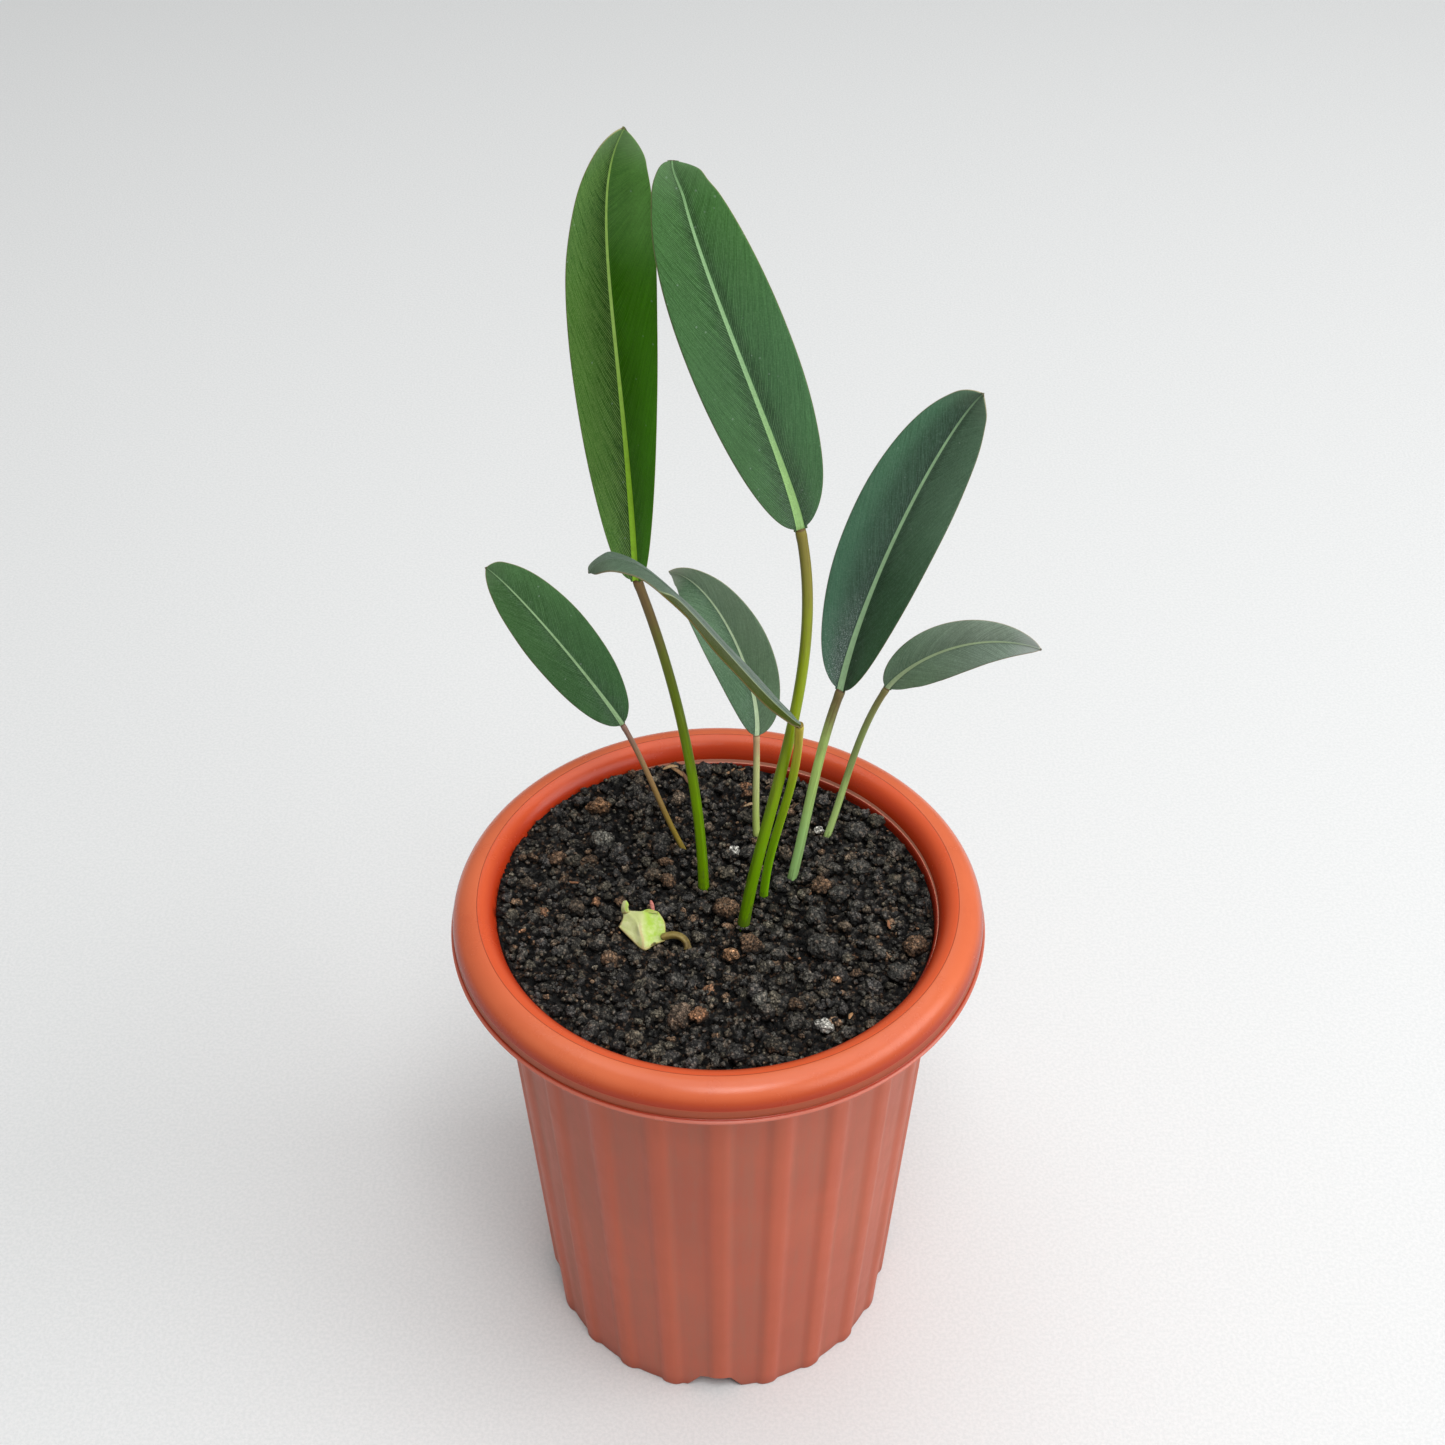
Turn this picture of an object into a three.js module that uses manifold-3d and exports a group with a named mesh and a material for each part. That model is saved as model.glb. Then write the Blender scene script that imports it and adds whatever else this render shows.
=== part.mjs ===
// A potted philodendron callosum: seven long leaves on bare petioles, standing in a
// fluted terracotta-coloured pot filled with dark granular potting mix.
// Millimetres, +Z up. The origin is on the pot's axis, in the plane that the pot stands on.
// The front of the pot faces -Y.

import * as THREE from 'three';
import { mergeVertices } from 'three/addons/utils/BufferGeometryUtils.js';
import Module from 'manifold-3d';

const wasm = await Module();
wasm.setup();

// Clearance between pieces that touch on the real plant

const GAP = 0.3;

// Pot: body and rolled rim

const BODY_TOP_Z = 225;
const BODY_TOP_RADIUS = 91.2;
const BODY_FOOT_RADIUS = 76.6;
const WALL = 2.2;
const FLANGE_RADIUS = 110;
const FLANGE_THICKNESS = 1.4;
const BEAD_RADIUS = 109;
const BEAD_CROWN_RADIUS = 99;
const BEAD_CROWN_Z = 240;
const LEDGE_RADIUS = 90.6;
const LEDGE_Z = 230;

// Pot: flutes, each a rounded ridge between two flat panels

const FLUTES = 22;
const FLUTE_PITCH = 360 / FLUTES;
const RIDGE_HALF_ANGLE = 4.35;
const RIDGE_SHOULDER_ANGLE = 2.6;
const RIDGE_CREST_PROUD = 1.6;
const RIDGE_SHOULDER_PROUD = 1.25;

// Pot: underside with a centre pad, a sunk drain channel and a notched foot ring

const FLOOR_THICKNESS = 2.5;
const CHANNEL_DEPTH = 5;
const PAD_RADIUS = 46;
const CHANNEL_INNER_RADIUS = 48;
const CHANNEL_OUTER_RADIUS = 69;
const FOOT_RING_INNER_RADIUS = 71;
const DRAIN_HOLES = 6;
const DRAIN_HOLE_RADIUS = 4.5;
const NOTCH_RIDGES = [0, 5, 11, 16];
const NOTCH_FOOT_WIDTH = 20;
const NOTCH_TOP_WIDTH = 13;
const NOTCH_HEIGHT = 4.7;

// Potting mix: its level, its loose relief and the clumps that lie on it

const MIX_LEVEL_Z = 228.5;
const MIX_BANK_RISE = 6.5;
const MIX_BANK_AZIMUTH = 160;
const MIX_CELLS = 28;
const MIX_BLOCK = 192;
const GRAIN_RELIEF = 1.3;
const GRAIN_SHIFT = 1.7;
const CLUMPS = 84;
const CLUMP_MIN_RADIUS = 2.0;
const CLUMP_MAX_RADIUS = 7.5;
const CLUMP_SEED = 41;

// Leaves. A petiole and a midrib are each one cubic Bezier curve: start, two handles, end.
// The petiole starts at the mix and ends at the collar, where the midrib starts.
// width: half the blade's width. widest: 1 puts it half way along, less is nearer the collar.
// blunt: roundness of the outline's base and tip, less is blunter.
// fold: degrees that the left and right half rise above flat.
// facing: azimuth from the front towards +X and elevation of the way the upper side looks.
// twist: degrees the blade turns round its midrib from collar to tip.

const LEAVES = {
  tall_left: {
    petiole: [[-6, 13, 229], [-7, 14, 283], [-15, 18, 334], [-30, 20, 384]],
    midrib: [[-30, 20, 384], [-32, 25, 485], [-43, 23, 544], [-30, 12.5, 566]],
    stem: 4.3,
    width: 20,
    widest: 1.05,
    blunt: [0.37, 0.39],
    fold: [32, 50],
    facing: [-10, 18],
    twist: 46,
  },
  tall_right: {
    petiole: [[10.5, -8, 229], [18, -7, 293], [42.5, 6, 353], [30, 6, 417]],
    midrib: [[30, 6, 417], [24, -2, 455], [-13, -6, 544], [-11.5, 11, 556.5]],
    stem: 4.8,
    width: 19.2,
    widest: 0.96,
    blunt: [0.62, 0.54],
    fold: [21, 20],
    facing: [7, 32],
    twist: -6,
  },
  right: {
    petiole: [[31, 18.5, 229], [37, 21, 261], [40, 27, 292], [49, 30, 322]],
    midrib: [[49, 30, 322], [56, 32, 374], [85, 39, 441], [95, 30, 458]],
    stem: 4.2,
    width: 19.7,
    widest: 0.93,
    blunt: [0.58, 0.56],
    fold: [24, 27],
    facing: [-26, 23],
    twist: 9,
  },
  small_right: {
    petiole: [[46.5, 43.5, 229], [54, 46, 256], [57, 48, 284], [69, 48, 308]],
    midrib: [[69, 48, 308], [77, 46, 324], [101, 38, 347], [124.5, 21, 349]],
    stem: 3.2,
    width: 10.8,
    widest: 0.94,
    blunt: [0.62, 0.65],
    fold: [15, 9],
    facing: [15, 43],
    twist: 5,
  },
  small_left: {
    petiole: [[-14.5, 35.5, 229], [-24, 37, 251], [-29, 39, 274], [-39, 42, 294]],
    midrib: [[-39, 42, 294], [-50, 45, 314], [-79, 47, 360], [-89.5, 46, 370]],
    stem: 2.5,
    width: 14.5,
    widest: 0.95,
    blunt: [0.6, 0.6],
    fold: [18, 17],
    facing: [2, 49],
    twist: 5,
  },
  small_back: {
    petiole: [[16.5, 44, 229], [15.5, 45, 248], [16.5, 46, 266], [16, 48, 283]],
    midrib: [[16, 48, 283], [18, 54, 309], [-2, 68, 351], [-18.5, 77, 344]],
    stem: 2.9,
    width: 14.6,
    widest: 0.88,
    blunt: [0.62, 0.75],
    fold: [30, 27],
    facing: [15, 14],
    twist: -21,
  },
  arched: {
    petiole: [[19, 8, 229], [20.5, 6, 267], [32, -5, 300], [31, -9, 337]],
    midrib: [[31, -9, 337], [-2, -12, 378], [-27, -24, 442], [-44, -28, 422.5]],
    stem: 3.8,
    width: 14.3,
    widest: 0.86,
    blunt: [0.6, 0.6],
    fold: [-3, -9],
    facing: [96, 48],
    twist: 20,
  },
};

// Blade section: thin margins, a raised midrib above and its keel below

const MARGIN_THICKNESS = 0.7;
const MIDRIB_RIDGE = 0.5;
const MIDRIB_KEEL = 2.0;
const MIDRIB_TIP_SHARE = 0.25;
const BLADE_CAMBER = 0.12;
const BLADE_STATIONS = 17;
const TIP_POINT_LENGTH = 1;
const TIP_HALF_WIDTH = 0.6;

// Petiole section: eight sides, stouter at the foot, a slight joint at the collar

const PETIOLE_SIDES = 8;
const PETIOLE_STEPS = 10;
const PETIOLE_BURIED = 30;
const PETIOLE_FOOT_SHARE = 1.12;
const PETIOLE_TOP_SHARE = 0.9;

// Withered leaf that lies on the mix: its middle, its size and its curled stalk

const WITHERED_AT = [-31, -13];
const WITHERED_LENGTH = 21;
const WITHERED_WIDTH = 18;
const WITHERED_THICKNESS = 0.8;
const WITHERED_CRUMPLE = 2.6;
const WITHERED_LIFT = 3.2;
const WITHERED_TURN = 25;
const WITHERED_STALK = [[-23, -16, 2.0], [-19, -18, 4.6], [-15, -20, 4.2], [-12, -21, 1.6]];
const WITHERED_STALK_RADIUS = 1.3;

// Colours

const COLOURS = {
  terracotta: { color: 0xb5523a, roughness: 0.5, metalness: 0 },
  mix: { color: 0x2a2624, roughness: 0.95, metalness: 0 },
  blade: { color: 0x2f6b34, roughness: 0.45, metalness: 0 },
  blade_dark: { color: 0x2b4f3c, roughness: 0.5, metalness: 0 },
  petiole: { color: 0x6f8a35, roughness: 0.5, metalness: 0 },
  petiole_brown: { color: 0x6d4f38, roughness: 0.55, metalness: 0 },
  withered: { color: 0xb9c15a, roughness: 0.6, metalness: 0 },
};

// Small helpers

const radians = THREE.MathUtils.degToRad;
const vector = (point) => new THREE.Vector3(...point);
const mix = THREE.MathUtils.lerp;

function hash(a, b) {
  // a fixed number from 0 to 1 for a pair of whole numbers
  const s = Math.sin(a * 127.1 + b * 311.7) * 43758.5453;
  return s - Math.floor(s);
}

function bareGeometry(positions, triangles) {
  const geometry = new THREE.BufferGeometry();
  geometry.setAttribute('position', new THREE.Float32BufferAttribute(positions, 3));
  geometry.setIndex(triangles);
  return geometry;
}

function toSolid(geometry) {
  // a closed geometry as a solid that can be joined and cut
  const bare = geometry.clone();
  bare.deleteAttribute('normal');
  bare.deleteAttribute('uv');
  const merged = mergeVertices(bare, 1e-3);
  const index = merged.index.array;
  const triangles = [];
  for (let k = 0; k < index.length; k += 3) {
    const [a, b, c] = [index[k], index[k + 1], index[k + 2]];
    if (a !== b && b !== c && c !== a) triangles.push(a, b, c);
  }
  return new wasm.Manifold(new wasm.Mesh({
    numProp: 3,
    vertProperties: new Float32Array(merged.attributes.position.array),
    triVerts: new Uint32Array(triangles),
  }));
}

function toGeometry(solid) {
  const mesh = solid.getMesh();
  return bareGeometry(Array.from(mesh.vertProperties), Array.from(mesh.triVerts));
}

function loft(rings, alikeHalves = false) {
  // A closed skin over rings of equal point count, with a fan over each end.
  // alikeHalves splits the second half of every band the way its mirror point in the
  // first half is split, so that the two faces of a thin blade have the same triangles.
  const count = rings[0].length;
  const positions = rings.flat().flatMap((p) => [p.x, p.y, p.z]);
  const triangles = [];
  for (let i = 0; i + 1 < rings.length; i++) {
    for (let k = 0; k < count; k++) {
      const a = i * count + k;
      const b = i * count + ((k + 1) % count);
      const c = b + count;
      const d = a + count;
      if (alikeHalves && k >= count / 2) triangles.push(a, b, d, b, c, d);
      else triangles.push(a, b, c, a, c, d);
    }
  }
  const last = (rings.length - 1) * count;
  for (let k = 1; k + 1 < count; k++) {
    triangles.push(0, k + 1, k);
    triangles.push(last, last + k, last + k + 1);
  }
  return bareGeometry(positions, triangles);
}

function turnedSolid(profile, steps, shape = (step, point) => point) {
  // A profile of [radius, z] points turned round Z. shape may move a point at each step,
  // and gives back [radius, z, angle in degrees from the front towards +X].
  const points = profile.map(([radius, z]) => new THREE.Vector2(radius, z));
  const lathe = new THREE.LatheGeometry(points, steps);
  const position = lathe.attributes.position;
  for (let step = 0; step <= steps; step++) {
    for (let k = 0; k < profile.length; k++) {
      const even = [...profile[k], (step * 360) / steps];
      const [radius, z, degrees] = shape(step % steps, even);
      const angle = radians(degrees);
      const x = radius * Math.sin(angle);
      const y = -radius * Math.cos(angle);
      position.setXYZ(step * profile.length + k, x, y, z);
    }
  }
  return toSolid(lathe);
}

// Pot

const wallRadius = (z) => mix(BODY_FOOT_RADIUS, BODY_TOP_RADIUS, z / BODY_TOP_Z);
const innerRadius = (z) => wallRadius(z) - WALL;
const FLOOR_Z = CHANNEL_DEPTH + FLOOR_THICKNESS;
const FLANGE_TOP_Z = BODY_TOP_Z + FLANGE_THICKNESS;

// the rolled rim, from the flange over the crown down to the inner ledge
const RIM = [
  [FLANGE_RADIUS, BODY_TOP_Z],
  [FLANGE_RADIUS, FLANGE_TOP_Z],
  [BEAD_RADIUS - 0.5, FLANGE_TOP_Z + 0.3],
  [BEAD_RADIUS, FLANGE_TOP_Z + 0.9],
  [BEAD_RADIUS, BEAD_CROWN_Z - 9],
  [BEAD_RADIUS - 1.5, BEAD_CROWN_Z - 4.5],
  [BEAD_RADIUS - 5, BEAD_CROWN_Z - 1],
  [BEAD_CROWN_RADIUS, BEAD_CROWN_Z],
  [94.5, BEAD_CROWN_Z - 2],
  [91.5, BEAD_CROWN_Z - 6],
  [LEDGE_RADIUS, LEDGE_Z],
  [innerRadius(LEDGE_Z - 1), LEDGE_Z - 1],
];

function buildPot() {
  const fluted = [[BODY_FOOT_RADIUS, 0], [BODY_TOP_RADIUS, BODY_TOP_Z]];
  const profile = [
    [0, 0],
    [PAD_RADIUS, 0],
    [CHANNEL_INNER_RADIUS, CHANNEL_DEPTH],
    [CHANNEL_OUTER_RADIUS, CHANNEL_DEPTH],
    [FOOT_RING_INNER_RADIUS, 0],
    ...fluted,
    ...RIM,
    [innerRadius(FLOOR_Z + 3), FLOOR_Z + 3],
    [innerRadius(FLOOR_Z) - 3, FLOOR_Z],
    [CHANNEL_INNER_RADIUS - FLOOR_THICKNESS, FLOOR_Z],
    [PAD_RADIUS - FLOOR_THICKNESS, FLOOR_THICKNESS],
    [0, FLOOR_THICKNESS],
  ];
  const marks = [
    [0, RIDGE_CREST_PROUD],
    [RIDGE_SHOULDER_ANGLE, RIDGE_SHOULDER_PROUD],
    [RIDGE_HALF_ANGLE, 0],
    [FLUTE_PITCH - RIDGE_HALF_ANGLE, 0],
    [FLUTE_PITCH - RIDGE_SHOULDER_ANGLE, RIDGE_SHOULDER_PROUD],
  ];
  const isFluted = ([r, z]) => fluted.some((p) => p[0] === r && p[1] === z);
  let pot = turnedSolid(profile, FLUTES * marks.length, (step, [radius, z]) => {
    const flute = Math.floor(step / marks.length);
    const [angle, proud] = marks[step % marks.length];
    const grown = isFluted([radius, z]) ? radius + proud : radius;
    return [grown, z, flute * FLUTE_PITCH + angle];
  });
  const drill = new THREE.CylinderGeometry(DRAIN_HOLE_RADIUS, DRAIN_HOLE_RADIUS, 10, 12);
  drill.rotateX(Math.PI / 2);
  drill.translate((CHANNEL_INNER_RADIUS + CHANNEL_OUTER_RADIUS) / 2, 0, FLOOR_Z - 1);
  for (let k = 0; k < DRAIN_HOLES; k++) {
    const hole = drill.clone().rotateZ(((k + 0.5) * 2 * Math.PI) / DRAIN_HOLES);
    pot = pot.subtract(toSolid(hole));
  }
  const outline = new THREE.Shape([
    new THREE.Vector2(-NOTCH_FOOT_WIDTH / 2 - 0.3, -0.4),
    new THREE.Vector2(NOTCH_FOOT_WIDTH / 2 + 0.3, -0.4),
    new THREE.Vector2(NOTCH_TOP_WIDTH / 2, NOTCH_HEIGHT),
    new THREE.Vector2(-NOTCH_TOP_WIDTH / 2, NOTCH_HEIGHT),
  ]);
  const notch = new THREE.ExtrudeGeometry(outline, { depth: 14, bevelEnabled: false });
  notch.rotateX(Math.PI / 2);
  notch.translate(0, 2 - CHANNEL_OUTER_RADIUS, 0);
  for (const ridge of NOTCH_RIDGES) {
    const cut = notch.clone().rotateZ(-radians(ridge * FLUTE_PITCH));
    pot = pot.subtract(toSolid(cut));
  }
  return toGeometry(pot);
}

// Leaves

function bladeFrame(leaf, t) {
  // the midrib's point at t, with the blade's own along, across and up directions
  const midrib = new THREE.CubicBezierCurve3(...leaf.midrib.map(vector));
  const along = midrib.getTangent(t);
  const azimuth = radians(leaf.facing[0]);
  const elevation = radians(leaf.facing[1]);
  const up = new THREE.Vector3(
    Math.sin(azimuth) * Math.cos(elevation),
    -Math.cos(azimuth) * Math.cos(elevation),
    Math.sin(elevation),
  );
  up.addScaledVector(along, -up.dot(along)).normalize();
  up.applyAxisAngle(along, radians(leaf.twist) * t);
  return { at: midrib.getPoint(t), along, up, across: along.clone().cross(up) };
}

function bladeRing(leaf, t, shrink = 1) {
  // One section: seven points over the top from left to right, seven back underneath.
  const { at, across, up } = bladeFrame(leaf, t);
  const blunt = mix(leaf.blunt[0], leaf.blunt[1], t);
  const outline = Math.sin(Math.PI * Math.pow(t, leaf.widest)) ** blunt || 0;
  const rib = 0.45 * leaf.stem * mix(1, MIDRIB_TIP_SHARE, t) * shrink;
  const half = Math.max(leaf.width * outline, rib * 1.3, TIP_HALF_WIDTH * shrink);
  const keel = MIDRIB_KEEL * mix(leaf.stem / 5, MIDRIB_TIP_SHARE, t);
  const place = (share, below) => {
    // share runs from -1 at the left margin to 1 at the right one
    const u = Math.abs(share);
    const fold = radians(leaf.fold[share < 0 ? 0 : 1]);
    const rise = half * (u * Math.sin(fold) + BLADE_CAMBER * u * (1 - u));
    const middle = Math.max(0, 1 - (u * half) / rib);
    const height = below
      ? rise - MARGIN_THICKNESS / 2 - keel * middle
      : rise + MARGIN_THICKNESS / 2 + MIDRIB_RIDGE * middle;
    const side = Math.sign(share) * u * half * Math.cos(fold);
    return at.clone().addScaledVector(across, side).addScaledVector(up, height);
  };
  const edge = Math.min(rib / half, 0.8);
  const wing = mix(edge, 1, 0.5);
  const shares = [-1, -wing, -edge, 0, edge, wing, 1];
  const above = shares.map((share) => place(share, false));
  const under = shares.toReversed().map((share) => place(share, true));
  return [...above, ...under];
}

function buildBlade(leaf) {
  const rings = [];
  for (let i = 0; i <= BLADE_STATIONS; i++) {
    const t = (1 - Math.cos((Math.PI * i) / BLADE_STATIONS)) / 2;
    rings.push(bladeRing(leaf, t));
  }
  // the first section stands square on the petiole's end, a clearance away from it
  const stalk = new THREE.CubicBezierCurve3(...leaf.petiole.map(vector));
  const lift = stalk.getTangent(1).multiplyScalar(GAP);
  rings[0] = levelRing(rings[0], stalk.getPoint(1), stalk.getTangent(1), lift);
  // the tip runs out in a short point
  const end = bladeFrame(leaf, 1);
  const point = bladeRing(leaf, 1, 0.5);
  rings.push(point.map((p) => p.addScaledVector(end.along, TIP_POINT_LENGTH)));
  return loft(rings, true);
}

function levelRing(ring, at, along, lift) {
  // the ring dropped on to the plane through at, square to along, and then lifted
  return ring.map((p) => {
    const off = p.clone().sub(at).dot(along);
    return p.clone().addScaledVector(along, -off).add(lift);
  });
}

function petioleRings(leaf, grow) {
  // Eight-sided sections from below the mix to the collar, all grown by the same amount.
  const curve = new THREE.CubicBezierCurve3(...leaf.petiole.map(vector));
  const foot = curve.getTangent(0);
  const buried = curve.getPoint(0).addScaledVector(foot, -PETIOLE_BURIED - grow);
  const stations = [{ at: buried, t: 0 }];
  for (let i = 0; i <= PETIOLE_STEPS; i++) {
    const t = i / PETIOLE_STEPS;
    stations.push({ at: curve.getPoint(t), t });
  }
  const facing = bladeFrame(leaf, 0).up;
  return stations.map(({ at, t }) => {
    const along = curve.getTangent(t);
    const up = facing.clone().addScaledVector(along, -facing.dot(along)).normalize();
    const across = along.clone().cross(up);
    const share = mix(PETIOLE_FOOT_SHARE, PETIOLE_TOP_SHARE, Math.sqrt(t));
    const radius = (leaf.stem / 2) * share + grow;
    const ring = [];
    for (let k = 0; k < PETIOLE_SIDES; k++) {
      const angle = (2 * Math.PI * (k + 0.5)) / PETIOLE_SIDES;
      const point = at.clone().addScaledVector(across, -radius * Math.cos(angle));
      ring.push(point.addScaledVector(up, radius * Math.sin(angle)));
    }
    return ring;
  });
}

const buildPetiole = (leaf) => loft(petioleRings(leaf, 0));

// Withered leaf

function witheredRings(grow) {
  // A small crumpled blade, flat on the mix at its near end and lifted at the far one.
  const rows = 6;
  const columns = 6;
  const turn = radians(WITHERED_TURN);
  const rings = [];
  for (let i = 0; i <= rows; i++) {
    const t = i / rows;
    const half = (WITHERED_WIDTH / 2) * Math.sin(Math.PI * (0.12 + 0.8 * t)) ** 0.7 + grow;
    const top = [];
    const under = [];
    for (let k = 0; k <= columns; k++) {
      const s = (2 * k) / columns - 1;
      const long = (t - 0.5) * (WITHERED_LENGTH + 2 * grow);
      const x = WITHERED_AT[0] + s * half * Math.cos(turn) - long * Math.sin(turn);
      const y = WITHERED_AT[1] + s * half * Math.sin(turn) + long * Math.cos(turn);
      const crumple = WITHERED_CRUMPLE * (hash(i + 7, k + 3) - 0.5) + 2.2 * s * s;
      const z = mixLevel(x, y) + 1.4 + WITHERED_LIFT * t * t + crumple;
      top.push(new THREE.Vector3(x, y, z + WITHERED_THICKNESS / 2 + grow));
      under.unshift(new THREE.Vector3(x, y, z - WITHERED_THICKNESS / 2 - grow));
    }
    rings.push([...top, ...under]);
  }
  return rings;
}

function witheredStalkRings(grow) {
  const onMix = ([x, y, above]) => new THREE.Vector3(x, y, mixLevel(x, y) + above);
  const points = WITHERED_STALK.map(onMix);
  const curve = new THREE.CubicBezierCurve3(...points);
  const rings = [];
  for (let i = 0; i <= 6; i++) {
    const along = curve.getTangent(i / 6);
    const across = along.clone().cross(new THREE.Vector3(0, 0, 1)).normalize();
    const up = across.clone().cross(along);
    const ring = [];
    for (let k = 0; k < 6; k++) {
      const angle = (Math.PI * k) / 3;
      const radius = WITHERED_STALK_RADIUS * (1 - 0.4 * (i / 6)) + grow;
      const point = curve.getPoint(i / 6).addScaledVector(across, -radius * Math.cos(angle));
      ring.push(point.addScaledVector(up, radius * Math.sin(angle)));
    }
    rings.push(ring);
  }
  return rings;
}

function witheredSolid(grow) {
  const scrap = toSolid(loft(witheredRings(grow), true));
  return scrap.add(toSolid(loft(witheredStalkRings(grow))));
}

// Potting mix

function mixLevel(x, y) {
  // the mix lies nearly level and banks up against the wall on one side
  const bank = radians(MIX_BANK_AZIMUTH);
  const reach = Math.hypot(x, y) / LEDGE_RADIUS;
  const towards = Math.max(0, x * Math.cos(bank) + y * Math.sin(bank)) / LEDGE_RADIUS;
  return MIX_LEVEL_Z + MIX_BANK_RISE * towards * reach;
}

function mixFill() {
  // everything inside the pot up to its crown, a clearance away from the pot
  const inside = RIM.toReversed().filter(([radius]) => radius < BEAD_CROWN_RADIUS);
  const profile = [
    [0, FLOOR_THICKNESS + GAP],
    [PAD_RADIUS - FLOOR_THICKNESS - GAP, FLOOR_THICKNESS + GAP],
    [CHANNEL_INNER_RADIUS - FLOOR_THICKNESS - GAP, FLOOR_Z + GAP],
    [innerRadius(FLOOR_Z) - 3.2, FLOOR_Z + GAP],
    [innerRadius(FLOOR_Z + 3) - GAP, FLOOR_Z + 3 + GAP],
    ...inside.map(([radius, z]) => [radius - GAP - 0.1, z + GAP]),
    [0, BEAD_CROWN_Z],
  ];
  return turnedSolid(profile, 44);
}

function mixBlock() {
  // a block whose top is the level of the mix, roughened point by point
  const block = new THREE.BoxGeometry(MIX_BLOCK, MIX_BLOCK, BEAD_CROWN_Z, MIX_CELLS, MIX_CELLS, 1);
  const position = block.attributes.position;
  for (let k = 0; k < position.count; k++) {
    if (position.getZ(k) < 0) continue;
    const column = Math.round(position.getX(k));
    const row = Math.round(position.getY(k));
    const inside = Math.max(Math.abs(column), Math.abs(row)) < MIX_BLOCK / 2 - 1;
    const shift = inside ? GRAIN_SHIFT : 0;
    const x = position.getX(k) + shift * (2 * hash(column, row) - 1);
    const y = position.getY(k) + shift * (2 * hash(row, column + 9) - 1);
    const grain = GRAIN_RELIEF * (2 * hash(column + 31, row + 17) - 1);
    position.setXYZ(k, x, y, mixLevel(x, y) + grain - BEAD_CROWN_Z / 2);
  }
  block.translate(0, 0, BEAD_CROWN_Z / 2);
  return toSolid(block);
}

function mixClumps() {
  // larger lumps, many small and few big, each a faceted pebble sunk a third of its height
  const clumps = [];
  for (let k = 0; clumps.length < CLUMPS; k++) {
    const draw = (n) => hash(k + CLUMP_SEED, 13 * n + 5);
    const radius = mix(CLUMP_MIN_RADIUS, CLUMP_MAX_RADIUS, draw(1) ** 4);
    const reach = (innerRadius(LEDGE_Z) - radius * 1.2 - 2) * Math.sqrt(draw(2));
    const angle = 2 * Math.PI * draw(3);
    const x = reach * Math.cos(angle);
    const y = reach * Math.sin(angle);
    const stone = new THREE.IcosahedronGeometry(radius, 0);
    stone.scale(1, 0.75 + 0.35 * draw(4), 0.7 + 0.2 * draw(5));
    stone.rotateZ(Math.PI * draw(6));
    stone.rotateX(0.6 * (draw(7) - 0.5));
    stone.translate(x, y, mixLevel(x, y) + radius * 0.25);
    clumps.push(toSolid(stone));
  }
  return clumps;
}

function buildMix() {
  let body = mixFill().intersect(mixBlock());
  for (const clump of mixClumps()) body = body.add(clump);
  for (const leaf of Object.values(LEAVES)) {
    body = body.subtract(toSolid(loft(petioleRings(leaf, GAP))));
  }
  // scraps that a hole has cut loose are dropped, and the largest piece is the mix
  const pieces = body.subtract(witheredSolid(GAP)).decompose();
  return toGeometry(pieces.reduce((a, b) => (a.volume() > b.volume() ? a : b)));
}

// Assembly

const plant = new THREE.Group();

function addPiece(name, geometry, colour) {
  geometry.computeVertexNormals();
  const piece = new THREE.Mesh(geometry, new THREE.MeshStandardMaterial(COLOURS[colour]));
  piece.name = name;
  plant.add(piece);
}

const DARK_BLADES = ['right', 'small_right', 'small_back', 'arched'];
const BROWN_PETIOLES = ['small_left'];

addPiece('pot', buildPot(), 'terracotta');
addPiece('potting_mix', buildMix(), 'mix');
for (const [name, leaf] of Object.entries(LEAVES)) {
  addPiece(`blade_${name}`, buildBlade(leaf), DARK_BLADES.includes(name) ? 'blade_dark' : 'blade');
  const brown = BROWN_PETIOLES.includes(name);
  addPiece(`petiole_${name}`, buildPetiole(leaf), brown ? 'petiole_brown' : 'petiole');
}
addPiece('withered_leaf', toGeometry(witheredSolid(0)), 'withered');

export default plant;
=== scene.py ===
# %% [markdown]
# # A potted philodendron callosum
# Seven long leathery leaves stand on bare petioles in a fluted plastic pot full of black
# volcanic granules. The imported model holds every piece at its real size. This lesson dresses
# those pieces: each one is worked out again as a fine surface with numpy, from the same
# dimensions, and then gets a finish made of shader nodes.

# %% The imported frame
import math

import bpy
import numpy as np
from mathutils import Matrix


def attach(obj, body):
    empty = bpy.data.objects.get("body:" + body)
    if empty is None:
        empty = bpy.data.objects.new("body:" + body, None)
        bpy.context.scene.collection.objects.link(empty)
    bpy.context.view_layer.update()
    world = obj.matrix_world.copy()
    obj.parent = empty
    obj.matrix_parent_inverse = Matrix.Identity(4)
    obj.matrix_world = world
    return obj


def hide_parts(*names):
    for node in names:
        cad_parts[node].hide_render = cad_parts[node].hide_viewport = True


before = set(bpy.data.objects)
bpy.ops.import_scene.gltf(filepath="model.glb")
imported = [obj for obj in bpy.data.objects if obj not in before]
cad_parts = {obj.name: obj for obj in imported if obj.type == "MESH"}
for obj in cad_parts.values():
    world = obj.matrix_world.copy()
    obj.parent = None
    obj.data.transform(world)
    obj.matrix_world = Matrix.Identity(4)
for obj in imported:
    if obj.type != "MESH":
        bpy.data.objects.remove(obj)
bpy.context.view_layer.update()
MM = 0.001
print("packed nodes:", sorted(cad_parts))

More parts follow.
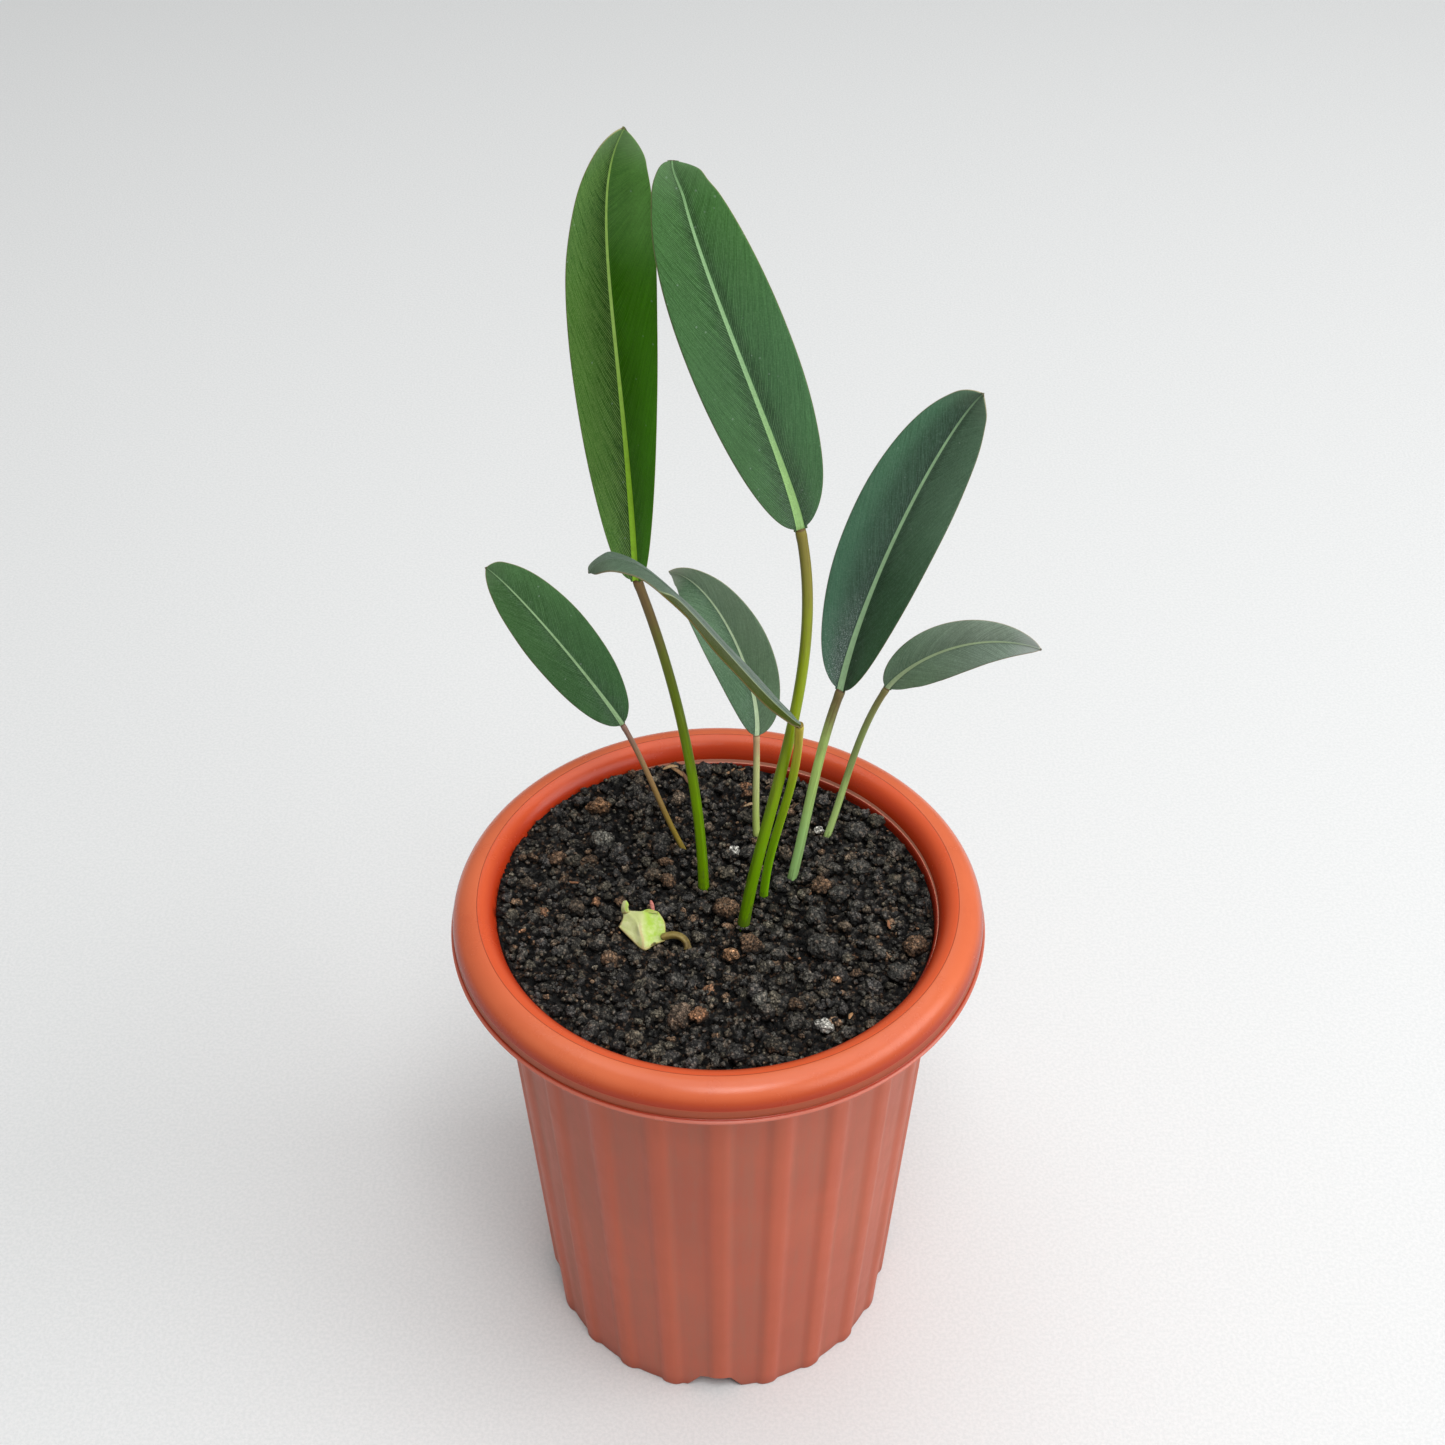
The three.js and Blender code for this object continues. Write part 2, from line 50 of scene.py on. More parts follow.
# %% [markdown]
# ## Camera
# The photo looks down on the plant from the front with a long lens. The camera was fitted to
# the pot's rings: its height, its distance, how far it looks down and a very small roll.
# The lens follows from the focal length in pixels and the frame's width in pixels.

# %% Camera
CAMERA_PLACE = (0.002, -0.642, 0.876)
CAMERA_LOOKS_DOWN = math.radians(40.36)
CAMERA_ROLL = math.radians(-0.13)
FOCAL_LENGTH_PX = 2200
FRAME_PX = 1445
SENSOR_MM = 36


def place_camera():
    """The camera's turn is first the roll about its own view line, then the tilt about X."""
    data = bpy.data.cameras.new("camera")
    data.sensor_width = SENSOR_MM
    data.lens = SENSOR_MM * FOCAL_LENGTH_PX / FRAME_PX
    camera = bpy.data.objects.new("camera", data)
    bpy.context.scene.collection.objects.link(camera)
    tilt = Matrix.Rotation(math.pi / 2 - CAMERA_LOOKS_DOWN, 4, "X")
    roll = Matrix.Rotation(CAMERA_ROLL, 4, "Z")
    camera.matrix_world = Matrix.Translation(CAMERA_PLACE) @ tilt @ roll
    bpy.context.scene.camera = camera
    print("lens:", round(data.lens, 2), "mm")


place_camera()

# %% [markdown]
# ## Writing shader maths as Python
# A finish is a tree of nodes, and a long formula takes many of them. One small class wraps a
# socket, so that + - * / and ** add the Math nodes. A second class holds the material and
# adds any other node with one method.

# %% Signals: sockets that can be added and multiplied


def math_node(operation):
    """The two methods, plain and reflected, that add a Math node of one kind."""

    def plain(self, other):
        return self.finish.maths(operation, self, other)

    def reflected(self, other):
        return self.finish.maths(operation, other, self)

    return plain, reflected


class Signal:
    """A socket that carries a value which varies over the surface."""

    def __init__(self, finish, socket):
        self.finish = finish
        self.socket = socket

    __add__, __radd__ = math_node("ADD")
    __sub__, __rsub__ = math_node("SUBTRACT")
    __mul__, __rmul__ = math_node("MULTIPLY")
    __truediv__, __rtruediv__ = math_node("DIVIDE")
    __pow__, __rpow__ = math_node("POWER")


# %% Finish: a material that is built node by node


def paint(code):
    """A colour written as on a colour card, such as '#c8502f', as linear light values."""
    values = [int(code[k:k + 2], 16) / 255 for k in (1, 3, 5)]
    linear = [v / 12.92 if v <= 0.04045 else ((v + 0.055) / 1.055) ** 2.4 for v in values]
    return (*linear, 1.0)


class Finish:
    """A material with one Principled shader, which plug() and the other methods feed."""

    def __init__(self, name):
        self.material = bpy.data.materials.new(name)
        self.material.use_nodes = True
        self.tree = self.material.node_tree
        self.tree.nodes.clear()
        self.shader = self.tree.nodes.new("ShaderNodeBsdfPrincipled")
        output = self.tree.nodes.new("ShaderNodeOutputMaterial")
        self.tree.links.new(self.shader.outputs[0], output.inputs[0])

    def plug(self, node, inputs):
        """Links or sets each of a node's sockets, named or numbered."""
        for key, value in inputs.items():
            if isinstance(value, Signal):
                self.tree.links.new(value.socket, node.inputs[key])
            else:
                node.inputs[key].default_value = value

    def node(self, kind, settings=None, inputs=None, output=0):
        """Adds one node: its settings first, then its sockets. Gives back one of its outputs."""
        node = self.tree.nodes.new("ShaderNode" + kind)
        for key, value in (settings or {}).items():
            setattr(node, key, value)
        self.plug(node, inputs or {})
        return Signal(self, node.outputs[output])

    def maths(self, operation, *values):
        """One Math node, such as the SINE of one value or the COMPARE of three."""
        return self.node("Math", {"operation": operation}, dict(enumerate(values)))

    def mix(self, amount, first, second, mode="MIX"):
        """A colour between two others, or one laid over the other in another mode."""
        settings = {"data_type": "RGBA", "blend_type": mode, "clamp_factor": True}
        return self.node("Mix", settings, {0: amount, 6: first, 7: second}, output=2)

    def coats(self, colour, *layers):
        """Thin coats laid over a colour in turn: each one an amount and a colour's code."""
        for amount, code in layers:
            colour = self.mix(amount, colour, paint(code))
        return colour

    def shade(self, colour, value):
        """A colour made darker or lighter: each of its parts times a value."""
        grey = self.node("CombineColor", {}, {0: value, 1: value, 2: value})
        return self.mix(1.0, colour, grey, "MULTIPLY")

    def ease(self, value, low, high, start=0.0, end=1.0):
        """Runs smoothly from start to end while the value runs from low to high."""
        inputs = {0: value, 1: low, 2: high, 3: start, 4: end}
        return self.node("MapRange", {"interpolation_type": "SMOOTHSTEP"}, inputs)

    def fade(self, value, low, high, start=1.0):
        """Runs smoothly from start down to 0 while the value runs from low to high."""
        return self.ease(value, low, high, start, 0.0)

    def layer(self, name, output="Fac"):
        """A value stored on the mesh's points."""
        return self.node("Attribute", {"attribute_name": name}, output=output)

    def place(self):
        """The point's own place on the object, in metres."""
        return self.node("TexCoord", output="Object")

    def axis(self, where, letter):
        """One of a place's three numbers."""
        return self.node("SeparateXYZ", {}, {0: where}, output=letter)

    def stretch(self, where, x, y, z):
        """A place whose three numbers are scaled one by one."""
        return self.node("VectorMath", {"operation": "MULTIPLY"}, {0: where, 1: (x, y, z)})

    def noise(self, where, scale, detail, rough=0.5, output="Fac"):
        """Cloudy values round 0.5."""
        inputs = {"Vector": where, "Scale": scale, "Detail": detail, "Roughness": rough}
        return self.node("TexNoise", {}, inputs, output=output)

    def cells(self, where, scale, output="Distance"):
        """How far off the nearest of many scattered points is."""
        return self.node("TexVoronoi", {}, {"Vector": where, "Scale": scale}, output=output)

    def cell_share(self, where, scale):
        """A random value from 0 to 1 for each scattered point and its cell."""
        return self.node("SeparateColor", {}, {0: self.cells(where, scale, "Color")})

    def complete(self, colour, roughness, bump, shine=0.5):
        """Feeds the shader its colour, roughness, bump, and how clearly it mirrors light."""
        self.plug(self.shader, {
            "Base Color": colour, "Roughness": roughness, "Normal": bump,
            "Specular IOR Level": shine,
        })
        return self

    def relief(self, height, depth, strength, under=None):
        """A bump. height runs from 0 to 1 and depth is its real height in metres."""
        inputs = {"Strength": strength, "Distance": depth, "Height": height}
        if under is not None:
            inputs["Normal"] = under
        return self.node("Bump", {}, inputs, output="Normal")


# %% [markdown]
# ## Surfaces worked out with numpy
# Every piece here is a grid of points: rows along the piece and columns round it. One helper
# turns such a grid into a closed mesh, joins the last column to the first and closes both
# ends with a fan. It also stores named values on the points, for the finishes to read.

# %% From grids to meshes


def ring_faces(rows, columns, first=0):
    """The four-cornered faces between neighbouring rings of points."""
    row, column = np.meshgrid(np.arange(rows - 1), np.arange(columns), indexing="ij")
    a = first + row * columns + column
    b = first + row * columns + (column + 1) % columns
    return np.stack([a, b, b + columns, a + columns], -1).reshape(-1, 4)


def fan_faces(ring, middle, turned=False):
    """Triangles from a ring of point numbers to one point in its middle."""
    after = np.roll(ring, -1)
    corners = (after, ring) if turned else (ring, after)
    return np.stack([*corners, np.full(len(ring), middle)], -1)


ATTRIBUTES = {1: ("FLOAT", "value"), 3: ("FLOAT_VECTOR", "vector"), 4: ("FLOAT_COLOR", "color")}


def make_mesh(name, points, faces, layers=None, smooth=True):
    """A mesh object from points (n, 3) and a list of face arrays, each of one corner count.
    A layer of one, three or four numbers a point becomes a value, a vector or a colour."""
    mesh = bpy.data.meshes.new(name)
    corners = np.concatenate([f.ravel() for f in faces])
    totals = np.concatenate([np.full(len(f), f.shape[1]) for f in faces])
    starts = np.concatenate([[0], np.cumsum(totals)[:-1]])
    mesh.vertices.add(len(points))
    mesh.vertices.foreach_set("co", np.asarray(points, np.float32).ravel())
    mesh.loops.add(len(corners))
    mesh.loops.foreach_set("vertex_index", corners.astype(np.int32))
    mesh.polygons.add(len(totals))
    mesh.polygons.foreach_set("loop_start", starts.astype(np.int32))
    mesh.polygons.foreach_set("use_smooth", np.full(len(totals), smooth))
    mesh.update(calc_edges=True)
    for key, values in (layers or {}).items():
        values = np.asarray(values, np.float32)
        kind, slot = ATTRIBUTES[values.shape[1] if values.ndim == 2 else 1]
        mesh.attributes.new(key, kind, "POINT").data.foreach_set(slot, values.ravel())
    mesh.validate()
    piece = bpy.data.objects.new(name, mesh)
    bpy.context.scene.collection.objects.link(piece)
    return piece


def close_skin(rings, first=0):
    """Points and faces of a closed skin over rings of points (rows, columns, 3): quads between
    the rings and a fan over each end. first is the number of its first point in the mesh."""
    rows, columns, _ = rings.shape
    count = rows * columns
    points = [rings.reshape(-1, 3), rings[0].mean(0)[None], rings[-1].mean(0)[None]]
    ring = first + np.arange(columns)
    faces = [
        ring_faces(rows, columns, first),
        fan_faces(ring, first + count, turned=True),
        fan_faces(ring + count - columns, first + count + 1),
    ]
    return np.concatenate(points), faces


def carry(at, across, up, x, y):
    """A section carried along a curve: the curve's point, plus x times the direction across
    it, plus y times the direction up."""
    return at[:, None] + across[:, None] * x[..., None] + up[:, None] * y[..., None]


def tube(name, rings, layers=None):
    """A closed skin as a mesh object. A layer may hold one value for a whole row or column.
    An end's middle point takes its ring's mean values."""
    points, faces = close_skin(rings)
    full = {}
    for key, values in (layers or {}).items():
        values = np.broadcast_to(values, (*rings.shape[:2], *values.shape[2:]))
        flat = values.reshape(rings.shape[0] * rings.shape[1], -1)
        ends = np.stack([values[0].mean(0), values[-1].mean(0)]).reshape(2, -1)
        full[key] = np.concatenate([flat, ends])
    return make_mesh(name, points, faces, full)


def dress(piece, finish, slot, *nodes):
    """Gives a piece its finish and its body, and hides the imported nodes that it stands for. The
    slot is not used.
    """
    piece.data.materials.append(finish.material)
    if nodes:
        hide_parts(*nodes)
    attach(piece, "root")
    triangles = sum(len(p.vertices) - 2 for p in piece.data.polygons)
    print(f"{piece.name}: {triangles} triangles")


def ease_between(value, low, high):
    """0 up to low, 1 from high, and a smooth step between them."""
    share = np.clip((value - low) / (high - low), 0, 1)
    return share * share * (3 - 2 * share)


def between(first, second, share):
    """The value that lies the given share of the way from first to second."""
    return first + (second - first) * share


def turned(x, y, angle):
    """A place in the plane, turned about the origin by an angle."""
    return x * np.cos(angle) - y * np.sin(angle), x * np.sin(angle) + y * np.cos(angle)


# %% [markdown]
# ## The pot
# The real pot is moulded in one piece: a fluted cone, a thin flange, and a rolled bead above
# it. Its skin is one profile turned round the axis. Round stretches of the profile are arcs.
# The flutes move the outer wall out by an amount that depends on the angle alone, and the
# notches lift the foot ring where they are.

# %% Pot: sizes
BODY_TOP_Z = 225 * MM
BODY_TOP_RADIUS = 91.2 * MM
BODY_FOOT_RADIUS = 76.6 * MM
WALL = 2.2 * MM
FLANGE_RADIUS = 110 * MM
FLANGE_THICKNESS = 1.4 * MM
BEAD_RADIUS = 109 * MM
BEAD_ROUND = 10 * MM
BAND_TOP_Z = 231.4 * MM
CROWN_RADIUS = 99 * MM
CROWN_Z = 240 * MM
LEDGE_RADIUS = 90.6 * MM
LEDGE_Z = 230 * MM
FLUTES = 22
RIDGE_HALF_ANGLE = 4.35
RIDGE_SHOULDER_ANGLE = 2.6
RIDGE_CREST_PROUD = 1.6 * MM
RIDGE_SHOULDER_PROUD = 1.25 * MM
PAD_RADIUS = 46 * MM
CHANNEL_INNER_RADIUS = 48 * MM
CHANNEL_OUTER_RADIUS = 69 * MM
CHANNEL_DEPTH = 5 * MM
FOOT_RING_INNER_RADIUS = 71 * MM
FLOOR_THICKNESS = 2.5 * MM
FLOOR_Z = CHANNEL_DEPTH + FLOOR_THICKNESS
NOTCH_RIDGES = (0, 5, 11, 16)
NOTCH_FOOT_WIDTH = 24 * MM
NOTCH_TOP_WIDTH = 13 * MM
NOTCH_HEIGHT = 8.5 * MM
NOTCH_INNER_HEIGHT = 5.5 * MM
NOTCH_INNER_RADIUS = 72 * MM
NOTCH_REACH = 12 * MM
NOTCH_ASIDE = 1.6
DRAIN_HOLES = 6
DRAIN_HOLE_RADIUS = 4.5 * MM
POT_STEPS = FLUTES * 18


def wall_radius(z):
    """The outer wall between two ridges: a straight line from the foot to the flange."""
    return between(BODY_FOOT_RADIUS, BODY_TOP_RADIUS, z / BODY_TOP_Z)


def ridge(degrees):
    """How far the outer wall stands proud at an angle from the front: a low arch over the
    crest, then a smooth flank down to the flat panel."""
    pitch = 360 / FLUTES
    off = np.abs((degrees + pitch / 2) % pitch - pitch / 2)
    crest = RIDGE_CREST_PROUD - RIDGE_SHOULDER_PROUD
    arch = RIDGE_CREST_PROUD - crest * (off / RIDGE_SHOULDER_ANGLE) ** 2
    flank = 1 - ease_between(off, RIDGE_SHOULDER_ANGLE - 0.6, RIDGE_HALF_ANGLE)
    return np.maximum(arch, 0) * flank


def notch(degrees):
    """The height of the foot notches at an angle: flat on top with two sloping sides. Each
    sits a little to the left of its ridge, and rises a little more under the ridge."""
    height = np.zeros_like(degrees)
    for number in NOTCH_RIDGES:
        turn = np.radians(degrees + NOTCH_ASIDE + number * 360 / FLUTES)
        off = np.abs(BODY_FOOT_RADIUS * np.sin(turn))
        slope = (NOTCH_FOOT_WIDTH / 2 - off) / (NOTCH_FOOT_WIDTH - NOTCH_TOP_WIDTH) * 2
        height = np.maximum(height, NOTCH_HEIGHT * np.clip(slope, 0, 1) * (np.cos(turn) > 0))
    return height * (1 + 0.16 * ridge(degrees) / RIDGE_CREST_PROUD)


# %% Pot: profile


def arc(centre, radii, start, end, steps):
    """Points of an ellipse's arc, its angles in degrees, as rows of radius and height."""
    angle = np.radians(np.linspace(start, end, steps))
    return np.array(centre) + np.array(radii) * np.stack([np.cos(angle), np.sin(angle)], -1)


def line(start, end, steps):
    """Points of a straight stretch, without its last one."""
    share = np.linspace(0, 1, steps, endpoint=False)[:, None]
    return between(np.array(start), np.array(end), share)


def chain(*corners):
    """Straight stretches from corner to corner. Each corner is a radius, a height, and the
    number of steps from there to the next."""
    return [line(a[:2], b[:2], a[2]) for a, b in zip(corners, corners[1:])]


def pot_profile():
    """The skin's profile from the middle of the underside, out and up over the bead, and back
    down inside to the middle of the floor. The third number is 1 on the fluted wall and the
    fourth 1 on the foot, where the notches lift it."""
    edge = 0.6 * MM
    groove_z = BODY_TOP_Z + FLANGE_THICKNESS
    inner = wall_radius(LEDGE_Z - MM) - WALL
    bend_z = FLOOR_Z + 3 * MM
    crown = (CROWN_RADIUS, CROWN_Z - BEAD_ROUND)
    under = chain(
        *[(PAD_RADIUS * k / 4, 0, 1) for k in range(4)],
        (PAD_RADIUS, 0, 3),
        (CHANNEL_INNER_RADIUS, CHANNEL_DEPTH, 5),
        (CHANNEL_OUTER_RADIUS, CHANNEL_DEPTH, 0),
    )
    foot = chain(
        (CHANNEL_OUTER_RADIUS, CHANNEL_DEPTH, 4),
        (FOOT_RING_INNER_RADIUS, 0, 4),
        (BODY_FOOT_RADIUS - edge, 0, 0),
    ) + [arc((BODY_FOOT_RADIUS - edge, edge), (edge, edge), -90, -15, 5)]
    wall = chain(*[(wall_radius(z), z, steps) for z, steps in (
        (edge, 7), (NOTCH_REACH, 20), (BODY_TOP_Z - MM, 0))])
    rim = [
        arc((BODY_TOP_RADIUS + MM, BODY_TOP_Z - MM), (MM, MM), 180, 90, 5),
        line((BODY_TOP_RADIUS + 2 * MM, BODY_TOP_Z), (FLANGE_RADIUS - edge, BODY_TOP_Z), 8),
        arc((FLANGE_RADIUS - edge, BODY_TOP_Z + edge), (edge, edge), -90, 80, 8),
        line((FLANGE_RADIUS - edge, groove_z), (BEAD_RADIUS - 0.5 * MM, groove_z), 2),
        arc((BEAD_RADIUS - 0.2 * MM, groove_z + 0.5 * MM), (0.5 * MM, 0.4 * MM), 220, 160, 4),
        line((BEAD_RADIUS - 0.3 * MM, groove_z + MM), (BEAD_RADIUS, groove_z + 1.6 * MM), 3),
        arc(crown, (BEAD_ROUND, BEAD_ROUND), 0, 88, 24),
        arc(crown, (CROWN_RADIUS - LEDGE_RADIUS, BEAD_ROUND), 90, 176, 20),
        arc((LEDGE_RADIUS - edge, LEDGE_Z - 0.4 * edge), (edge, edge), 30, 100, 5),
        line((inner + 0.4 * MM, LEDGE_Z - 0.2 * MM), (inner, LEDGE_Z - MM), 3),
    ]
    inside = chain(
        (inner, LEDGE_Z - MM, 6),
        (wall_radius(bend_z) - WALL, bend_z, 4),
        (wall_radius(FLOOR_Z) - WALL - 3 * MM, FLOOR_Z, 4),
        (CHANNEL_INNER_RADIUS - FLOOR_THICKNESS, FLOOR_Z, 3),
        (PAD_RADIUS - FLOOR_THICKNESS, FLOOR_THICKNESS, 5),
        (4 * MM, FLOOR_THICKNESS, 0),
    )
    rows = []
    for group, flags in (
        (under, (0, 0)), (foot, (0, 1)), (wall, (1, 1)), (rim, (0, 0)), (inside, (0, 0)),
    ):
        rows += [np.concatenate([part, np.tile(flags, (len(part), 1))], 1) for part in group]
    return np.concatenate(rows)


# %% Pot: skin


def build_pot():
    """Turns the profile. A lifted point's height is z + notch * (1 - z / reach), so that the
    foot rises whole and the wall above it closes up. The wall's radius follows the height."""
    profile = pot_profile()
    degrees = np.arange(POT_STEPS) * 360 / POT_STEPS
    r, z, fluted, lifted = (profile[:, k][:, None] for k in range(4))
    reach = np.where(fluted > 0, NOTCH_REACH, CHANNEL_DEPTH)
    cut = notch(degrees)
    lift = np.where(r < NOTCH_INNER_RADIUS, np.minimum(cut, NOTCH_INNER_HEIGHT), cut)
    height = z + lifted * lift * np.clip(1 - z / reach, 0, 1)
    near_foot = lifted * ease_between(r, FOOT_RING_INNER_RADIUS, BODY_FOOT_RADIUS - 2 * MM)
    near_flange = 1 - ease_between(z, BODY_TOP_Z - 2 * MM, BODY_TOP_Z)
    standing = np.maximum(near_foot, fluted) * np.where(lifted > 0, near_flange, 0)
    proud = ridge(degrees) * standing
    shift = np.where(fluted > 0, wall_radius(height) - wall_radius(z), 0)
    radius = r + shift + proud
    turn = np.radians(degrees)
    rings = np.stack([radius * np.sin(turn), -radius * np.cos(turn), height], -1)
    return tube("pot_moulded", rings, {"wall": fluted, "crest": proud / RIDGE_CREST_PROUD})


def lap(steps):
    """Angles once round a circle."""
    return np.arange(steps) * 2 * np.pi / steps


def drill_holes(piece):
    """Cuts the drain holes with a Boolean modifier, and keeps its result as the mesh."""
    angle = lap(24)
    middle = (CHANNEL_INNER_RADIUS + CHANNEL_OUTER_RADIUS) / 2
    drills = []
    for k in range(DRAIN_HOLES):
        turn = (k + 0.5) * 2 * np.pi / DRAIN_HOLES
        x = middle * math.cos(turn) + DRAIN_HOLE_RADIUS * np.cos(angle)
        y = middle * math.sin(turn) + DRAIN_HOLE_RADIUS * np.sin(angle)
        heights = np.array([CHANNEL_DEPTH - 2 * MM, FLOOR_Z + 2 * MM])[:, None]
        rings = np.stack(np.broadcast_arrays(x[None], y[None], heights), -1)
        drills.append(tube(f"drill_{k}", rings))
    for drill in drills:
        cut = piece.modifiers.new("drain hole", "BOOLEAN")
        cut.operation = "DIFFERENCE"
        cut.object = drill
    graph = bpy.context.evaluated_depsgraph_get()
    whole = piece.data
    piece.data = bpy.data.meshes.new_from_object(piece.evaluated_get(graph))
    piece.modifiers.clear()
    bpy.data.meshes.remove(whole)
    for drill in drills:
        bpy.data.objects.remove(drill)


pot = build_pot()
drill_holes(pot)
print("pot points:", len(pot.data.vertices))

# %% [markdown]
# ## The pot's finish
# The plastic is dyed terracotta orange. On the bead it is clean and satin. The fluted wall
# wears a film of pale dust, thicker on the flat panels than on the ridges, in vertical
# streaks, and a few spots have run down. The mould left a fine dark seam on the crown.
# Light is painted in too: brighter crests, painted shade at the foot, in the throat, below the
# inner lip and low on the bead's side, and painted highlights on the inner lip and the flange's
# edge.

# %% Pot: the dusty wall


def dusty_wall(f, place, z, crest, cloud, mottle, fine):
    """The fluted wall's colour and its dust: a duller orange, painted brighter on the ridges as
    painted light, under a film in vertical streaks, and darker just above the foot as painted
    shade."""
    streaks = f.noise(f.stretch(place, 1, 1, 0.05), 130, 4, 0.6)
    dust = f.ease(streaks * 0.6 + mottle * 0.25 + fine * 0.15, 0.38, 0.66)
    low = f.fade(z + (mottle - 0.5) * (6 * MM), 1 * MM, 9 * MM)
    colour = f.coats(
        paint("#bf583a"),
        (f.ease(cloud, 0.3, 0.7), "#b45035"),
        # painted light: the ridges' crests a brighter orange
        (crest * 0.4, "#c95a35"),
        ((1 - crest * 0.55) * (0.16 + 0.42 * dust), "#a36c5a"),
        # painted shade: darker just above the foot
        (low * 0.4, "#94402c"),
    )
    return colour, dust


# %% Pot: the clean rim and the whole finish
SEAM_RADIUS = 98.5 * MM
SEAM_HALF_WIDTH = 0.16 * MM
LIP_RADIUS = 90.55 * MM
LIP_HALF_WIDTH = 0.22 * MM
# Pairs of radii or of heights, between which a colour comes in or goes out.
THROAT = (91.5 * MM, 96.5 * MM)
BEAD_SIDE = (104 * MM, 106 * MM)
BEAD_FOOT_Z = (226.5 * MM, 227 * MM)
BEAD_TOP_Z = (237 * MM, 238 * MM)
FLANGE_TOP_Z = (227 * MM, 227.6 * MM)


def clean_rim(f, radius, z, cloud, mottle):
    """The bead and the inside: clean orange, redder inside the seam, and deep red painted shade in
    the throat. Below the inner lip it is painted dark as shade, and the lip itself has a painted
    highlight line."""
    throat_shade = f.fade(radius, *THROAT) * f.ease(z, 226 * MM, 227 * MM)
    lip_highlight = f.maths("COMPARE", radius, LIP_RADIUS, LIP_HALF_WIDTH)
    return f.coats(
        paint("#d66d46"),
        (f.ease(cloud, 0.35, 0.65), "#ce643f"),
        (f.ease(mottle, 0.45, 0.8, 0, 0.25), "#bc5230"),
        (f.fade(radius, SEAM_RADIUS - 0.3 * MM, SEAM_RADIUS) * 0.6, "#d2491f"),
        # painted shade: deep red in the throat of the bead
        (throat_shade * 0.85, "#b22e0e"),
        # painted shade: dark red below the inner lip
        (f.fade(radius, 90.2 * MM, 90.5 * MM) * 0.85, "#701a08"),
        # painted highlight: a pale line along the inner lip
        (lip_highlight * f.ease(z, 229 * MM, 230 * MM) * 0.8, "#eba58c"),
    )


def terracotta():
    """The wall and the rim in one, with a dull band and a deep red one on the bead's side, the
    deep red one painted shade, the dark seam on its crown, and a painted highlight on the flange's
    edge."""
    f = Finish("terracotta_plastic")
    place, wall, crest = f.place(), f.layer("wall"), f.layer("crest")
    x, y, z = (f.axis(place, letter) for letter in "XYZ")
    radius = (x * x + y * y) ** 0.5
    cloud = f.noise(place, 14, 4)
    mottle = f.noise(place, 90, 5, 0.6)
    fine = f.noise(f.stretch(place, 1, 1, 0.1), 900, 3, 0.6)
    grain = f.noise(place, 2600, 2)
    body, dust = dusty_wall(f, place, z, crest, cloud, mottle, fine)
    colour = f.mix(wall, clean_rim(f, radius, z, cloud, mottle), body)
    outside = f.ease(radius, *BEAD_SIDE)
    band = f.fade(z, BAND_TOP_Z - 0.3 * MM, BAND_TOP_Z + 0.3 * MM)
    band = band * f.ease(z, *BEAD_FOOT_Z)
    # painted shade: a deeper red low on the outside of the bead
    deep = f.fade(z, BAND_TOP_Z + 0.5 * MM, 238 * MM) * outside * (1 - band)
    seam = f.maths("COMPARE", radius, SEAM_RADIUS, SEAM_HALF_WIDTH)
    seam = seam * f.ease(z, *BEAD_TOP_Z)
    # painted highlight: a pale line along the flange's edge
    flange_highlight = f.ease(radius, FLANGE_RADIUS - 1.2 * MM, FLANGE_RADIUS - 0.4 * MM)
    flange_highlight = flange_highlight * f.fade(z, *FLANGE_TOP_Z)
    colour = f.coats(
        colour,
        (band * outside * 0.85, "#9a4425"),
        (deep * 0.97, "#a32d05"),
        (seam * 0.8, "#8a3118"),
        (flange_highlight * (1 - wall) * 0.4, "#e59a86"),
    )
    rough = 0.26 + 0.18 * wall + 0.12 * (mottle - 0.5)
    rough = rough + 0.14 * wall * dust + 0.25 * band * outside
    bump = f.relief(grain * 0.4 + mottle * 0.5 + fine * wall * 0.3 - seam, 0.12 * MM, 0.5)
    return f.complete(colour, rough, bump, shine=0.34)


dress(pot, terracotta(), "terracotta", "pot")

# %% [markdown]
# ## Leaves
# A petiole and a midrib are Bezier curves. The blade's section swings along the midrib: it
# knows which way is along, across and up at each point. The two halves rise from the midrib
# like an open book, and the blade can twist on its way to the tip. Distances below are in
# millimetres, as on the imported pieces, and become metres where the points are made.

